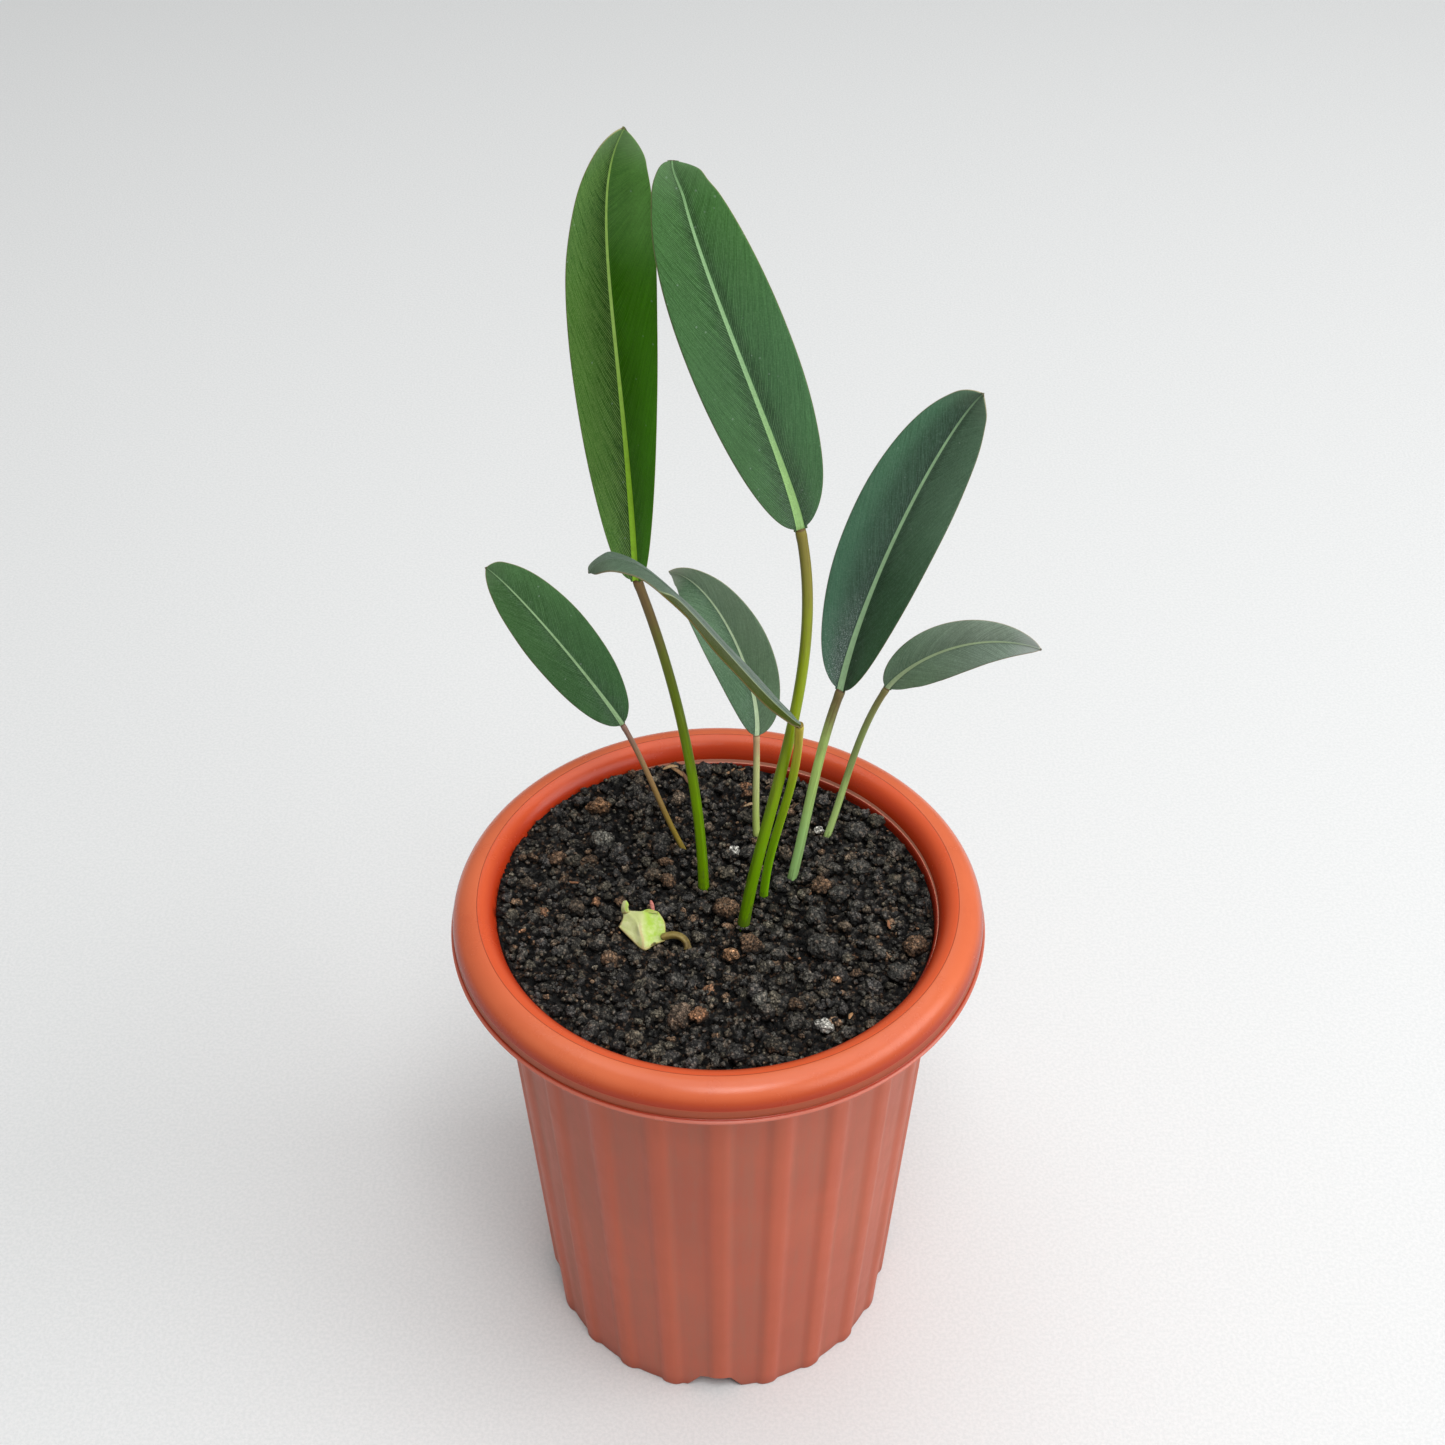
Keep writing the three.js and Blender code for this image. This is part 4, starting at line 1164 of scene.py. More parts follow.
def over_mix(x, y, above):
    """Points at some height above the mix."""
    return np.stack([x, y, mix_level(x, y) + above], -1)


def pot_inside(z):
    """The pot's inner radius at a height near the rim: the wall, and then the bead's inner
    curve, which is a quarter of an ellipse."""
    ledge, crown, rise = LEDGE_Z / MM, CROWN_RADIUS / MM, BEAD_ROUND / MM
    share = np.clip((z - ledge) / rise, 0, 1)
    bead = crown - (crown - POT_EDGE) * np.sqrt(1 - share ** 2)
    wall = wall_radius(z * MM) / MM - WALL / MM
    return np.where(z < ledge - 0.5, wall, bead)


# %% Mix: stones
STONE_SEED = 7
STONE_CUTS = 8


def ball(levels):
    """Points and triangles of an icosahedron split a number of times, its points on a sphere."""
    g = (1 + 5 ** 0.5) / 2
    points = [(-1, g, 0), (1, g, 0), (-1, -g, 0), (1, -g, 0), (0, -1, g), (0, 1, g),
              (0, -1, -g), (0, 1, -g), (g, 0, -1), (g, 0, 1), (-g, 0, -1), (-g, 0, 1)]
    faces = [(0, 11, 5), (0, 5, 1), (0, 1, 7), (0, 7, 10), (0, 10, 11), (1, 5, 9), (5, 11, 4),
             (11, 10, 2), (10, 7, 6), (7, 1, 8), (3, 9, 4), (3, 4, 2), (3, 2, 6), (3, 6, 8),
             (3, 8, 9), (4, 9, 5), (2, 4, 11), (6, 2, 10), (8, 6, 7), (9, 8, 1)]
    points, faces = np.array(points, float), np.array(faces)
    points /= np.linalg.norm(points, axis=1, keepdims=True)
    for _ in range(levels):
        edges = np.sort(np.concatenate([faces[:, [0, 1]], faces[:, [1, 2]], faces[:, [2, 0]]]), 1)
        unique, number = np.unique(edges, axis=0, return_inverse=True)
        number = number.reshape(3, -1) + len(points)
        middle = points[unique].mean(1)
        points = np.concatenate([points, middle / np.linalg.norm(middle, axis=1, keepdims=True)])
        a, b, c = faces.T
        ab, bc, ca = number
        quarters = ((a, ab, ca), (b, bc, ab), (c, ca, bc), (ab, bc, ca))
        faces = np.concatenate([np.stack(corners, -1) for corners in quarters])
    return points, faces


def random_ways(count, each, rng):
    """Random unit directions, a few for each stone."""
    ways = rng.normal(size=(count, each, 3))
    return ways / np.linalg.norm(ways, axis=-1, keepdims=True)


def broken_stones(count, levels, rng, knobs, knob_size):
    """Each stone's points: the ball's directions times the nearest of some random flat cuts,
    plus knobs, which are small round caps that stand up where a direction is near theirs."""
    directions, faces = ball(levels)
    facing = np.einsum("vk,nck->nvc", directions, random_ways(count, STONE_CUTS, rng))
    depth = rng.uniform(0.6, 0.95, (count, 1, STONE_CUTS))
    reach = np.where(facing > 0.05, depth / np.maximum(facing, 0.05), 9)
    radius = np.minimum(reach.min(-1), 1.0)
    if knobs:
        apart = 1 - np.einsum("vk,nck->nvc", directions, random_ways(count, knobs, rng))
        size = knob_size * rng.uniform(0.6, 1.2, (count, 1, knobs))
        caps = np.sqrt(np.clip(1 - 2 * apart / size ** 2, 0, 1)) * size * 0.8
        radius = radius * (1 - knob_size * 0.3) + caps.max(-1)
    return directions[None] * radius[..., None], faces


def lay_stones(places, sizes, tints, levels, rng, knobs=0, knob_size=0):
    """Points, faces, colours and dust of many stones. Each is squashed a little, turned about
    Z, and set down. Dust lies thickest on a stone's top, and the same value lets the finish paint
    the top lighter and the low sides dark as painted shade."""
    shapes, faces = broken_stones(len(places), levels, rng, knobs, knob_size)
    squash = rng.uniform((0.85, 0.75, 0.65), (1.15, 1.0, 0.95), (len(places), 3))
    shapes = shapes * squash[:, None] * sizes[:, None, None]
    turn = rng.uniform(0, 2 * np.pi, len(places))[:, None]
    x, y = turned(shapes[..., 0], shapes[..., 1], turn)
    points = np.stack([x, y, shapes[..., 2]], -1) + places[:, None]
    count = shapes.shape[1]
    faces = (faces[None] + (np.arange(len(places)) * count)[:, None, None]).reshape(-1, 3)
    colour = np.concatenate([np.repeat(tints, count, 0), np.ones((len(places) * count, 1))], 1)
    # dust and painted light: highest on a stone's top, lowest underneath
    dust = np.clip(0.45 + 0.5 * shapes[..., 2] / sizes[:, None], 0, 1).ravel()
    return points.reshape(-1, 3), faces, colour, dust


def join_heaps(name, heaps):
    """One mesh of several heaps of stones."""
    points, faces, tints, dust = zip(*heaps)
    firsts = np.cumsum([0] + [len(part) for part in points])
    faces = [part + first for part, first in zip(faces, firsts)]
    layers = {"tint": np.concatenate(tints), "dust_and_painted_light": np.concatenate(dust)}
    return make_mesh(name, np.concatenate(points) * MM, faces, layers)


# %% Mix: where stones lie
# Clumps that stand out in the bed: x, y and radius in millimetres, and a colour.
CLUMPS = [
    (-51.5, 55.9, 6.0, "rust"), (-49.1, 36.9, 5.5, "grey"), (-68.0, 25.6, 4.0, "brown"),
    (-24.4, 38.2, 4.5, "dark"), (-22.2, 26.8, 3.5, "brown"), (-21.2, 15.4, 4.0, "brown"),
    (6.9, 33.6, 3.4, "pale"), (3.6, 20.4, 4.0, "olive"), (3.5, -1.4, 5.5, "brown"),
    (12.8, -21.2, 6.0, "brown"), (5.0, -26.9, 4.0, "tan"), (-42.7, -30.1, 4.0, "brown"),
    (-16.4, -41.8, 5.0, "dark"), (-14.6, -61.5, 6.5, "earth"), (-33.0, -72.3, 5.0, "olive"),
    (-49.5, -68.1, 4.0, "dark"), (17.0, -51.9, 4.5, "grey"), (-40.0, 2.7, 3.0, "brown"),
    (-32.4, 14.0, 3.5, "dark"), (42.9, 12.2, 5.5, "brown"), (50.1, 7.6, 5.0, "dark"),
    (47.9, 23.2, 4.0, "dark"), (59.1, 22.9, 5.0, "dark"), (39.8, -5.7, 5.5, "dark"),
    (42.4, -24.0, 7.0, "dark"), (79.7, -22.5, 6.5, "brown"), (41.7, -64.5, 3.6, "pale"),
    (80.5, 11.2, 4.5, "dark"), (72.0, -37.3, 5.5, "dark"), (59.3, 44.2, 6.5, "dark"),
    (36.5, 18.1, 3.5, "dark"), (25.6, 13.6, 5.0, "dark"), (76.2, -38.0, 3.0, "tan"),
    (47.4, -39.6, 2.5, "tan"), (57.2, 1.0, 4.0, "dark"), (50.4, -68.6, 3.5, "dark"),
    (43.3, 46.9, 2.2, "pale"), (13.1, 33.0, 4.0, "dark"),
]
TINTS = {
    "dark": "#3d3c39", "grey": "#595852", "brown": "#604a38", "rust": "#72543b",
    "earth": "#54463a", "olive": "#514b40", "tan": "#8a674a", "pale": "#bdbbb3",
}
WITHERED_AT = (-31, -13)
WITHERED_REACH = 11


def petiole_feet():
    """Where each petiole leaves the mix, and its radius there."""
    return [(*leaf["petiole"][0][:2], leaf["stem"] / 2 * PETIOLE_SHARES[name][0])
            for name, leaf in LEAVES.items()]


def clear_of_stalks(x, y, size):
    """True for the stones whose middle keeps off every petiole."""
    keep = np.ones(len(x), bool)
    for foot_x, foot_y, radius in petiole_feet():
        keep &= np.hypot(x - foot_x, y - foot_y) > radius + 0.75 * size
    return keep


def scatter(count, small, large, power, rng):
    """Even random places in the pot with radii that are more often small than large, each
    clear of the wall and of the petioles."""
    size = between(small, large, rng.uniform(0, 1, count) ** power)
    reach = np.sqrt(rng.uniform(0, 1, count)) * (POT_EDGE + 1)
    angle = rng.uniform(0, 2 * np.pi, count)
    x, y = reach * np.cos(angle), reach * np.sin(angle)
    keep = clear_of_stalks(x, y, size) & (reach < pot_inside(mix_level(x, y)) - 0.85 * size - 0.3)
    return x[keep], y[keep], size[keep]


def spaced(x, y, size):
    """True for the stones that no earlier one in the list lies under or over."""
    apart = np.hypot(x[:, None] - x, y[:, None] - y) < 0.8 * (size[:, None] + size)
    return ~np.tril(apart, -1).any(1)


GRAIN_COLOURS = ["#302f2e", "#383632", "#444037", "#4c4237", "#5d4938", "#7c5940"]
GRAIN_SHARES = [0.32, 0.34, 0.20, 0.09, 0.04, 0.01]


def shade_of(count, rng):
    """A colour for each grain: mostly blue-black and grey-black, some brown, few tan or pale."""
    colours = np.array([paint(code)[:3] for code in GRAIN_COLOURS])
    pick = rng.choice(len(colours), count, p=GRAIN_SHARES)
    return colours[pick] * rng.uniform(0.45, 1.8, (count, 1))


# %% [markdown]
# The clumps come first, each covered with knobs like a raspberry, because it is a lump of
# smaller grains that stuck together. A grain stays only where no clump is in its way. The
# stones come in three meshes by size. A collar of grains leans against each petiole's foot.

# %% Mix: stones laid down
CLUMP_FINE_FROM = 4.6
COLLAR_GRAINS = 13
# name, tries, most stones, smallest and largest radius, leaning to small, splits, knobs, size
HEAPS = [
    ("mix_lumps", 420, 150, 2.3, 4.2, 1.6, 3, 44, 0.34),
    ("mix_stones", 1100, 600, 1.3, 2.5, 1.3, 2, 12, 0.5),
    ("mix_grains", 2600, 1200, 0.75, 1.35, 1.2, 1, 0, 0.5),
]


def collar_grains(rng):
    """Grains all round each petiole's foot, that just touch its skin."""
    found = []
    for foot_x, foot_y, radius in petiole_feet():
        grain = rng.uniform(0.8, 1.6, COLLAR_GRAINS)
        angle = lap(COLLAR_GRAINS) + rng.uniform(0, 0.4, COLLAR_GRAINS)
        away = radius + grain * 0.8
        found.append([foot_x + away * np.cos(angle), foot_y + away * np.sin(angle), grain])
    return np.concatenate(found, 1)


def build_stones():
    """The clumps, the lumps, the middling stones and the fine grains."""
    rng = np.random.default_rng(STONE_SEED)
    clumps = np.array([row[:3] for row in CLUMPS])
    x, y, size = clumps.T
    places = over_mix(x, y, np.where(size > 3, 0.3, 0.4) * size)
    tints = np.array([paint(TINTS[row[3]])[:3] for row in CLUMPS])
    large = size > CLUMP_FINE_FROM
    heaps = [lay_stones(places[pick], size[pick] * 0.92, tints[pick], levels, rng, knobs, knob)
             for pick, levels, knobs, knob in ((large, 4, 110, 0.24), (~large, 3, 60, 0.34))]
    pieces = [join_heaps("mix_clumps", heaps)]

    x, y, radius = collar_grains(rng)
    places = over_mix(x, y, rng.uniform(0.6, 1.4, len(x)))
    collar = lay_stones(places, radius, shade_of(len(x), rng), 1, rng)
    for name, count, limit, least, most, power, levels, knobs, knob in HEAPS:
        x, y, radius = scatter(count, least, most, power, rng)
        away = np.hypot(x[:, None] - clumps[:, 0], y[:, None] - clumps[:, 1]) / clumps[:, 2]
        keep = away.min(1) > rng.uniform(0.9, 1.1, len(x))
        keep &= spaced(x, y, radius) if levels > 1 else True
        x, y, radius = x[keep][:limit], y[keep][:limit], radius[keep][:limit]
        under_leaf = np.hypot(x - WITHERED_AT[0], y - WITHERED_AT[1]) < WITHERED_REACH
        lift = rng.uniform(-0.3, 0.85, len(x)) * radius - 1.5 * under_leaf
        tints = shade_of(len(x), rng)
        heap = lay_stones(over_mix(x, y, lift), radius, tints, levels, rng, knobs, knob)
        pieces.append(join_heaps(name, [heap, collar] if name == "mix_grains" else [heap]))
    return pieces


# %% [markdown]
# The bed under the stones is a disc of points that follows the pot's wall. A square grid is
# bent into the disc, so its cells stay alike everywhere. Its relief is a heap of domes: the
# plane is ruled into cells, each cell has one stone at a random place in it, and a point
# takes the highest dome among its own cell and the cells round it. Three rulings of
# different cell sizes give large, middling and fine stones.

# %% Mix: bed
BED_CELLS = 240
BED_SINK = 1.3
BED_FLOOR = -1.6
BED_DRUM_Z = (226.0, 120.0, FLOOR_Z / MM + 3 + GAP)
NO_STONE = -9.0
# cell size, smallest and largest radius, share of cells that hold a stone, and random lift
BED_RULINGS = [(1.9, 0.8, 1.35, 1.0, 0.5), (3.1, 1.3, 2.1, 0.75, 0.7), (6.0, 2.2, 3.4, 0.45, 0.6)]


def disc_grid(cells):
    """A square grid bent into the unit disc: each square ring of it becomes a circle."""
    a, b = np.meshgrid(*[np.linspace(-1, 1, cells + 1)] * 2, indexing="ij")
    wide = np.abs(a) > np.abs(b)
    radius = np.where(wide, a, b)
    safe = np.where(radius == 0, 1, radius)
    angle = np.where(wide, np.pi / 4 * b / safe, np.pi / 2 - np.pi / 4 * a / safe)
    return radius * np.cos(angle), radius * np.sin(angle)


def cell_random(column, row, salt):
    """A number from 0 to 1 that depends on the cell alone: the broken-off part of a large sine."""
    value = np.sin(column * 127.1 + row * 311.7 + salt * 74.7) * 43758.5453
    return value - np.floor(value)


def ruled_domes(x, y, ruling, salt):
    """The highest dome at each point, and a random number that belongs to its stone."""
    cell, least, most, share, lift = ruling
    column, row = np.floor(x / cell), np.floor(y / cell)
    best = np.full_like(x, NO_STONE)
    owner = np.zeros_like(x)
    for step_x in (-1, 0, 1):
        for step_y in (-1, 0, 1):
            i, j = column + step_x, row + step_y
            chance = [cell_random(i, j, salt + k) for k in range(8)]
            from_x, from_y = x - (i + chance[0]) * cell, y - (j + chance[1]) * cell
            long, wide = turned(from_x, from_y, -chance[2] * np.pi)
            wide = wide * (1 + 0.4 * chance[3])
            angle = np.arctan2(wide, long)
            lobes = 0.12 * np.cos(3 * angle + 9 * chance[4])
            lobes += 0.08 * np.cos(5 * angle + 9 * chance[5])
            radius = between(least, most, chance[6]) * (1 + lobes)
            near = np.clip(1 - (long ** 2 + wide ** 2) / radius ** 2, 0, 1)
            dome = np.sqrt(near) * radius * 0.85 + lift * (chance[7] - 0.9)
            height = np.where((near > 0) & (chance[4] < share), dome, NO_STONE)
            owner = np.where(height > best, chance[5], owner)
            best = np.maximum(best, height)
    return best, owner


def build_bed():
    """The bed's top over a drum that follows the inside of the pot down to its floor."""
    u, v = disc_grid(BED_CELLS)
    edge = POT_EDGE * np.ones_like(u)
    for _ in range(3):
        edge = pot_inside(mix_level(u * edge, v * edge)) - GAP
    x, y = u * edge, v * edge
    height, owner = np.full_like(x, BED_FLOOR), np.zeros_like(x)
    for salt, ruling in enumerate(BED_RULINGS):
        dome, number = ruled_domes(x, y, ruling, 10 * salt)
        owner = np.where(dome > height, number, owner)
        height = np.maximum(height, dome)
    height = np.where(np.hypot(u, v) > 0.995, 0, height) - BED_SINK
    top = over_mix(x, y, height).reshape(-1, 3)
    index = np.arange((BED_CELLS + 1) ** 2).reshape(BED_CELLS + 1, BED_CELLS + 1)
    quads = np.stack([index[:-1, :-1], index[1:, :-1], index[1:, 1:], index[:-1, 1:]], -1)
    ring = np.concatenate([index[:-1, 0], index[-1, :-1], index[:0:-1, -1], index[0, :0:-1]])
    angle = np.arctan2(top[ring, 1], top[ring, 0])
    drum, faces = [top], [quads.reshape(-1, 4)]
    for depth in BED_DRUM_Z:
        below = np.arange(len(ring)) + sum(len(part) for part in drum)
        circle = np.stack([np.cos(angle), np.sin(angle)], -1) * (pot_inside(depth) - GAP)
        drum.append(np.insert(circle, 2, depth, 1))
        faces.append(np.stack([ring, below, np.roll(below, -1), np.roll(ring, -1)], -1))
        ring = below
    drum.append(np.array([[0, 0, FLOOR_Z / MM + GAP]]))
    points = np.concatenate(drum)
    faces.append(fan_faces(ring, len(points) - 1, turned=True))
    colours = np.array([paint(code) for code in GRAIN_COLOURS])
    pick = np.searchsorted(np.cumsum(GRAIN_SHARES), owner.ravel()).clip(0, len(colours) - 1)
    tint = np.tile(paint(GRAIN_COLOURS[0]), (len(points), 1))
    # painted shade: the bed's low hollows are painted nearly black, and its stored dust-and-light
    # value falls with them
    deep = ease_between(height.ravel(), BED_FLOOR, 0.4)
    tint[:len(pick)] = colours[pick] * between(0.03, 1.0, deep)[:, None]
    dust_and_painted_light = np.zeros(len(points))
    dust_and_painted_light[:len(pick)] = deep * 0.8
    return make_mesh("mix_bed", points * MM, faces, {"tint": tint, "dust_and_painted_light": dust_and_painted_light})


# %% [markdown]
# ## The mix's finish
# All the grains share one finish. Each grain's own colour comes from its points. A cellular
# pattern makes every grain itself a lump of finer ones, each painted lighter in its middle and
# darker at its rim, with painted shade in the black pits and cracks between them. Dust makes
# the tops a little paler, the same stored value paints the lower sides and hollows dark as
# painted shade, small painted glints sit on the tops, and grit roughens the skin.

# %% Mix: finish


def volcanic_gravel():
    """A dry, crumbly, porous skin over each stone's own colour, with painted light and shade on its
    crumbs and painted glints.
    """
    f = Finish("volcanic_gravel")
    place = f.place()
    dust_and_painted_light = f.layer("dust_and_painted_light")
    wobble = f.noise(place, 700, 2, output="Color")
    inputs = {0: wobble, 1: (0.9 * MM,) * 3, 2: place}
    bent = f.node("VectorMath", {"operation": "MULTIPLY_ADD"}, inputs)
    own = f.cell_share(bent, 640)
    pores = f.noise(place, 1500, 3, 0.65)
    grit = f.noise(place, 2300, 3, 0.6)
    patch = f.noise(place, 320, 3)
    dome = f.fade(f.cells(bent, 640), 0.15, 0.72)
    chip = f.fade(f.cells(bent, 1350), 0.2, 0.8)
    # own is each crumb's own tone; dome and chip are painted light and shade: crumbs lit in the
    # middle, cracks dark
    light = (0.42 + 1.16 * own) * (0.42 + 0.9 * dome) * (0.45 + 1.0 * chip)
    # painted light and shade: tops lighter, low sides and hollows nearly black
    colour = f.shade(f.layer("tint", "Color"), light * f.ease(dust_and_painted_light, 0.35, 0.85, 0.03, 2.1))
    # painted shade: the pits are near black
    colour = f.mix(f.fade(pores, 0.36, 0.47, 0.9), colour, (0.0025, 0.0022, 0.002, 1))
    # painted glints on the crumbs' tops
    painted_glints = f.ease(grit + (own - 0.5) * 0.12, 0.67, 0.72) * dome * f.ease(dust_and_painted_light, 0.4, 0.7)
    colour = f.coats(
        colour,
        (f.ease(patch * 0.6 + own * 0.4, 0.54, 0.68) * 0.35 * dome, "#75543a"),
        (f.ease(dust_and_painted_light * 0.6 + dome * 0.25 + (grit - 0.5) * 1.6, 0.6, 0.95) * 0.5, "#7f786c"),
        (painted_glints * 0.45, "#c4bba8"),
    )
    deep = f.relief(dome * 0.5 + chip * 0.25 + pores * 0.25, 1.0 * MM, 0.9)
    bump = f.relief(grit, 0.3 * MM, 0.6, deep)
    return f.complete(colour, 0.6 + 0.3 * pores, bump, shine=0.25)


gravel = volcanic_gravel()
for heap in [build_bed(), *build_stones()]:
    dress(heap, gravel, "mix", "potting_mix")

# %% [markdown]
# ## The withered leaf
# A small dry leaf lies crumpled on the mix. It is drawn as a net of a few points, each with
# its height above the mix, and a smooth curve through the points of each row and column
# fills the net in. A pinched crease runs down to its lowest point, a flap is turned over at
# the far right, and a thin strip curls up at the far left. Its stalk runs out to the side.

# %% Withered leaf
# Each row of a net is five or three points: x, y, and the height above the mix.
WITHERED_NET = np.array([
    [-40.7, -12.1, 2.0, -35.1, -19.3, 1.6, -30.1, -23.9, 0.8, -26.1, -22.0, 1.8, -21.5, -20.2, 2.8],
    [-39.9, -10.8, 2.8, -34.0, -16.6, 3.4, -30.3, -21.2, 3.4, -26.2, -19.0, 2.6, -21.3, -17.7, 3.6],
    [-39.2, -9.3, 3.4, -34.1, -13.3, 4.8, -31.2, -16.8, 5.4, -26.6, -14.5, 3.6, -21.5, -12.2, 4.4],
    [-38.9, -7.3, 3.8, -35.0, -9.9, 5.4, -31.2, -11.4, 6.2, -27.2, -9.6, 4.6, -22.6, -9.4, 5.0],
    [-39.4, -5.7, 4.4, -36.0, -7.0, 5.4, -31.9, -7.2, 5.8, -28.4, -6.4, 6.2, -24.3, -6.9, 5.8],
    [-38.6, -5.4, 4.8, -35.6, -6.4, 5.0, -31.5, -6.6, 5.0, -27.6, -7.6, 6.9, -24.6, -8.3, 6.4],
]).reshape(-1, 5, 3)
WITHERED_CURL = np.array([
    [-39.4, -6.7, 4.2, -37.6, -7.6, 5.2, -35.8, -7.2, 5.4],
    [-39.7, -5.8, 6.0, -38.2, -6.8, 6.9, -36.3, -7.0, 6.4],
    [-39.3, -5.0, 7.6, -37.9, -5.4, 8.5, -36.6, -6.6, 7.6],
    [-38.8, -4.4, 8.7, -37.4, -4.5, 9.2, -36.4, -5.7, 8.3],
    [-38.0, -4.6, 8.4, -37.2, -5.2, 8.6, -36.5, -5.9, 7.9],
]).reshape(-1, 3, 3)
WITHERED_THICKNESS = 0.35
WITHERED_STALK = [(-22.6, -18.6, 3.2), (-17, -18.4, 6.2), (-12.4, -20.2, 5.4), (-12.4, -22.9, 0.8)]
WITHERED_STALK_RADIUS = 2.05


def smooth_through(values, steps):
    """A Catmull-Rom curve through the rows of an array: between two rows, a cubic whose slopes
    at its ends come from the rows before and after them."""
    before, after = 2 * values[:1] - values[1:2], 2 * values[-1:] - values[-2:-1]
    padded = np.concatenate([before, values, after])
    place = np.linspace(0, len(values) - 1, steps)
    first = np.minimum(place.astype(int), len(values) - 2)
    t = (place - first).reshape(-1, *[1] * (values.ndim - 1))
    a, b, c, d = (padded[first + k] for k in range(4))
    square, cube = 2 * a - 5 * b + 4 * c - d, 3 * b - a - 3 * c + d
    return 0.5 * (2 * b + (c - a) * t + square * t ** 2 + cube * t ** 3)


def build_sheet(name, net, rows, columns, wrinkle):
    """A thin closed sheet through a net. Its two skins lie half the thickness to either side,
    measured along Z, and meet at the margins. wrinkle is the height of slanting small folds."""
    fine = smooth_through(smooth_through(net, rows).transpose(1, 0, 2), columns)
    x, y, above = fine.transpose(2, 1, 0)
    t, s = np.meshgrid(np.linspace(0, 1, rows), np.linspace(0, 1, columns), indexing="ij")
    folds = np.abs(np.sin(9 * s + 5 * t)) * np.sin(np.pi * s)
    folds = folds + 0.6 * np.abs(np.sin(4 * s - 11 * t + 1))
    z = mix_level(x, y) + above + wrinkle * (folds - 0.6)
    thick = WITHERED_THICKNESS / 2 * np.sqrt(np.clip(1 - (2 * s - 1) ** 8, 0, 1))
    upper, lower = (np.stack([x, y, z + side * thick], -1) for side in (1, -1))
    rings = np.concatenate([upper, lower[:, -2:0:-1]], 1)
    layers = {"across": 2 * s - 1, "fold": folds, "length": t}
    layers = {key: np.concatenate([part, part[:, -2:0:-1]], 1) for key, part in layers.items()}
    return tube(name, rings * MM, layers)


def build_withered_stalk():
    """A thin tube with three faint ribs along its curve, flattened, and a little thinner at
    its free end."""
    handles = [(x, y, float(mix_level(x, y)) + above) for x, y, above in WITHERED_STALK]
    t = np.linspace(0, 1, 30)
    at, along = bezier(handles, t), bezier_along(handles, t)
    across = np.cross(along, np.array([0, 0.5, 1.0]))
    across /= np.linalg.norm(across, axis=1, keepdims=True)
    up = np.cross(across, along)
    angle = lap(16)
    radius = WITHERED_STALK_RADIUS * (1 - 0.15 * t)[:, None] * (1 + 0.14 * np.sin(3 * angle))
    rings = carry(at, across, up, -radius * np.cos(angle), 0.7 * radius * np.sin(angle))
    return tube("withered_stalk", rings * MM, {"length": t[:, None]})


# %% Withered leaf: finish


def withered_skin():
    """Pale yellow-green on the left half, fresh green on the right, with a pinkish crease and
    brown margins and blotches."""
    f = Finish("withered_skin")
    place = f.place()
    across, length = f.layer("across"), f.layer("length")
    patch = f.noise(place, 260, 4, 0.6)
    fibre = f.noise(place, 1100, 3, 0.6)
    crease = f.maths("COMPARE", across + (patch - 0.5) * 0.25, -0.02, 0.07)
    margin = f.ease(across * across + (fibre - 0.5) * 0.2, 0.86, 1.0)
    colour = f.coats(
        paint("#c3cb85"),
        (f.ease(across + (patch - 0.5) * 0.5, -0.05, 0.35), "#a3c344"),
        (f.ease(patch, 0.4, 0.7, 0, 0.6), "#d6d6a6"),
        (f.fade(f.layer("fold"), 0.0, 0.3, 0.25), "#8ea43a"),
        (crease * 0.5 * f.fade(length, 0.3, 0.6), "#bf9a70"),
        (margin * 0.6, "#b48a64"),
        (f.fade(length + (fibre - 0.5) * 0.1, 0.0, 0.1, 0.6), "#a98052"),
        (f.ease(length, 0.86, 1.0) * 0.5, "#a7a23c"),
    )
    bump = f.relief(patch * 0.7 + fibre * 0.3, 0.4 * MM, 0.5)
    return f.complete(colour, 0.5 + 0.2 * patch, bump)


def dry_stalk_skin():
    """Olive brown, darker towards its free end."""
    f = Finish("dry_stalk_skin")
    patch = f.noise(f.place(), 420, 4, 0.6)
    brown = (f.layer("length"), "#5f4c2a"), (f.ease(patch, 0.4, 0.7, 0, 0.5), "#a4914e")
    return f.complete(f.coats(paint("#8a7a3c"), *brown), 0.6, f.relief(patch, 0.3 * MM, 0.6))


scrap = withered_skin()
for piece, finish in (
    (build_sheet("withered_blade", WITHERED_NET, 60, 48, 0.3), scrap),
    (build_sheet("withered_curl", WITHERED_CURL, 30, 20, 0.1), scrap),
    (build_withered_stalk(), dry_stalk_skin()),
):
    dress(piece, finish, "withered", "withered_leaf")

# %% [markdown]
# ## Chips of bark and root
# A few straw-coloured splinters lie at the back wall and one pink chip beside the withered
# leaf. Each is a thin plate, bent along its length and pointed at both ends.

# %% Chips
# x, y, length, width, height above the mix, heading in degrees, and a colour
CHIPS = [
    (-21, 83, 7, 2.0, 2.0, 200, "#a98a62"), (-17, 80.5, 8, 2.2, 1.6, 330, "#8a6844"),
    (-14, 78, 7, 1.8, 1.2, 300, "#6f4c32"), (5, 83, 6, 1.4, 1.8, 40, "#a07c58"),
    (9, 84, 6, 1.6, 1.5, 15, "#946a48"), (-27.1, -0.5, 5.2, 1.7, 2.6, 105, "#cf7f74"),
    (14, 62, 6, 1.6, 1.6, 10, "#b79a76"), (52, -60, 4.5, 1.5, 2.0, 70, "#b98b5f"),
    (-60, 12, 4.5, 1.3, 1.8, 150, "#9c6a48"), (70, -10, 5.5, 1.5, 1.8, 95, "#a06a48"),
]


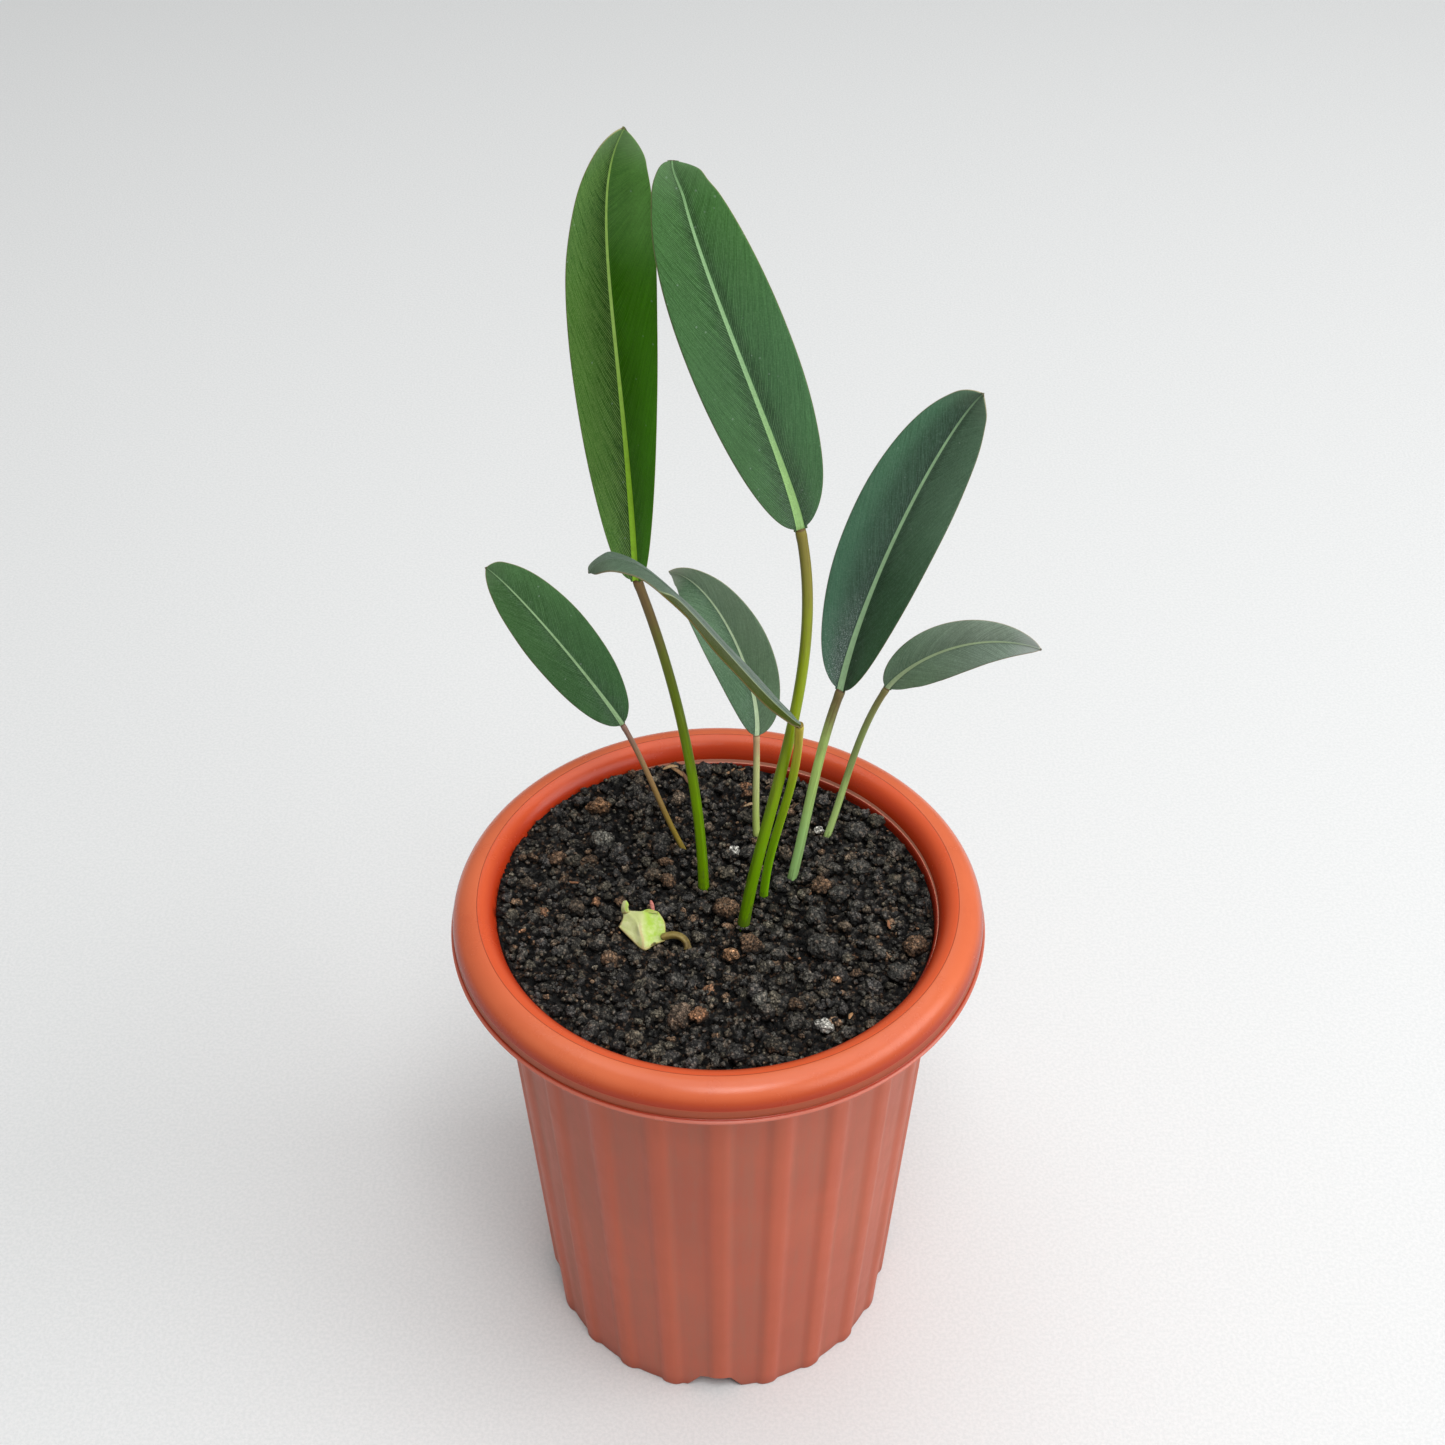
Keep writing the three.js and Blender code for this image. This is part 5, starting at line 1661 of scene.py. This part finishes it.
def build_chips():
    """Each chip is a lens-shaped section carried along a shallow bow."""
    points, faces, tints = [], [], []
    t = np.linspace(0, 1, 13)[:, None]
    angle = lap(10)
    for number, (x, y, length, width, above, heading, code) in enumerate(CHIPS):
        taper = np.sin(np.pi * (0.06 + 0.88 * t)) ** 0.6
        side = width / 2 * taper * np.cos(angle)
        high = above + 0.9 * np.sin(np.pi * t + number) + 0.35 * taper * np.sin(angle)
        along, across = turned((t - 0.5) * length, side, math.radians(heading))
        rings = over_mix(x + along, y + across, high)
        part, part_faces = close_skin(rings, sum(len(p) for p in points))
        points.append(part)
        faces += part_faces
        tints.append(np.tile(paint(code), (len(part), 1)))
    layers = {"tint": np.concatenate(tints)}
    return make_mesh("mix_chips", np.concatenate(points) * MM, faces, layers)


def dry_wood():
    """Fibrous, with the chip's own colour."""
    f = Finish("dry_wood")
    fibre = f.noise(f.stretch(f.place(), 1, 1, 4), 900, 4, 0.7)
    pores = f.fade(fibre, 0.35, 0.6, 0.5)
    colour = f.mix(pores, f.layer("tint", "Color"), (0.05, 0.025, 0.012, 1))
    return f.complete(colour, 0.8, f.relief(fibre, 0.4 * MM, 0.7))


dress(build_chips(), dry_wood(), "mix", "potting_mix")

# %% [markdown]
# ## Stage and light
# The object stands on a plain pale floor with a hint of plaster texture. The light is soft: a
# bright sky all round and four square panels. One hangs overhead, one in front above the
# camera, and two lower ones at the right model the leaves and the flutes.

# %% Stage
FLOOR_SIZE = 12.0
SKY_STRENGTH = 0.24
LIGHTS_AIM = (0, 0, 0.2)
# Each panel's place, its size in metres, and its watts.
PANELS = {
    "overhead": ((0.3, 0.3, 3.0), 3.0, 56),
    "front": ((0.35, -1.95, 4.3), 1.6, 63),
    "side": ((2.6, -0.4, 1.8), 1.6, 35),
    "low": ((1.93, -1.74, 1.7), 1.4, 18),
}


def build_floor():
    """One large square in the plane that the pot stands on."""
    corners = np.array([(-1, -1, 0), (1, -1, 0), (1, 1, 0), (-1, 1, 0)]) * FLOOR_SIZE / 2
    floor = make_mesh("floor", corners, [np.array([[0, 1, 2, 3]])], smooth=False)
    f = Finish("pale_plaster")
    grain = f.noise(f.place(), 620, 4, 0.6)
    colour = f.coats(paint("#d9dbdb"), (f.ease(grain, 0.35, 0.65), "#e1e2e2"))
    f.complete(colour, 0.9, f.relief(grain, 0.5 * MM, 0.3))
    floor.data.materials.append(f.material)


def build_sky():
    """An even white surround."""
    world = bpy.data.worlds.new("sky")
    world.use_nodes = True
    shade = world.node_tree.nodes["Background"]
    shade.inputs["Color"].default_value = (1.0, 1.0, 1.0, 1)
    shade.inputs["Strength"].default_value = SKY_STRENGTH
    bpy.context.scene.world = world


def hang_panel(name, place, size, watts):
    """A square soft light at a place, turned to look at the plant."""
    data = bpy.data.lights.new(name, "AREA")
    data.shape = "SQUARE"
    data.size = size
    data.energy = watts
    light = bpy.data.objects.new(name, data)
    bpy.context.scene.collection.objects.link(light)
    away = np.array(place) - np.array(LIGHTS_AIM)
    away /= np.linalg.norm(away)
    side = np.cross([0, 0, 1.0], away)
    side /= np.linalg.norm(side)
    turn = Matrix(np.stack([side, np.cross(away, side), away], 1))
    light.matrix_world = Matrix.Translation(place) @ turn.to_4x4()


build_floor()
build_sky()
for name, (place, size, watts) in PANELS.items():
    hang_panel(name, place, size, watts)
bpy.context.scene.view_settings.view_transform = "Standard"
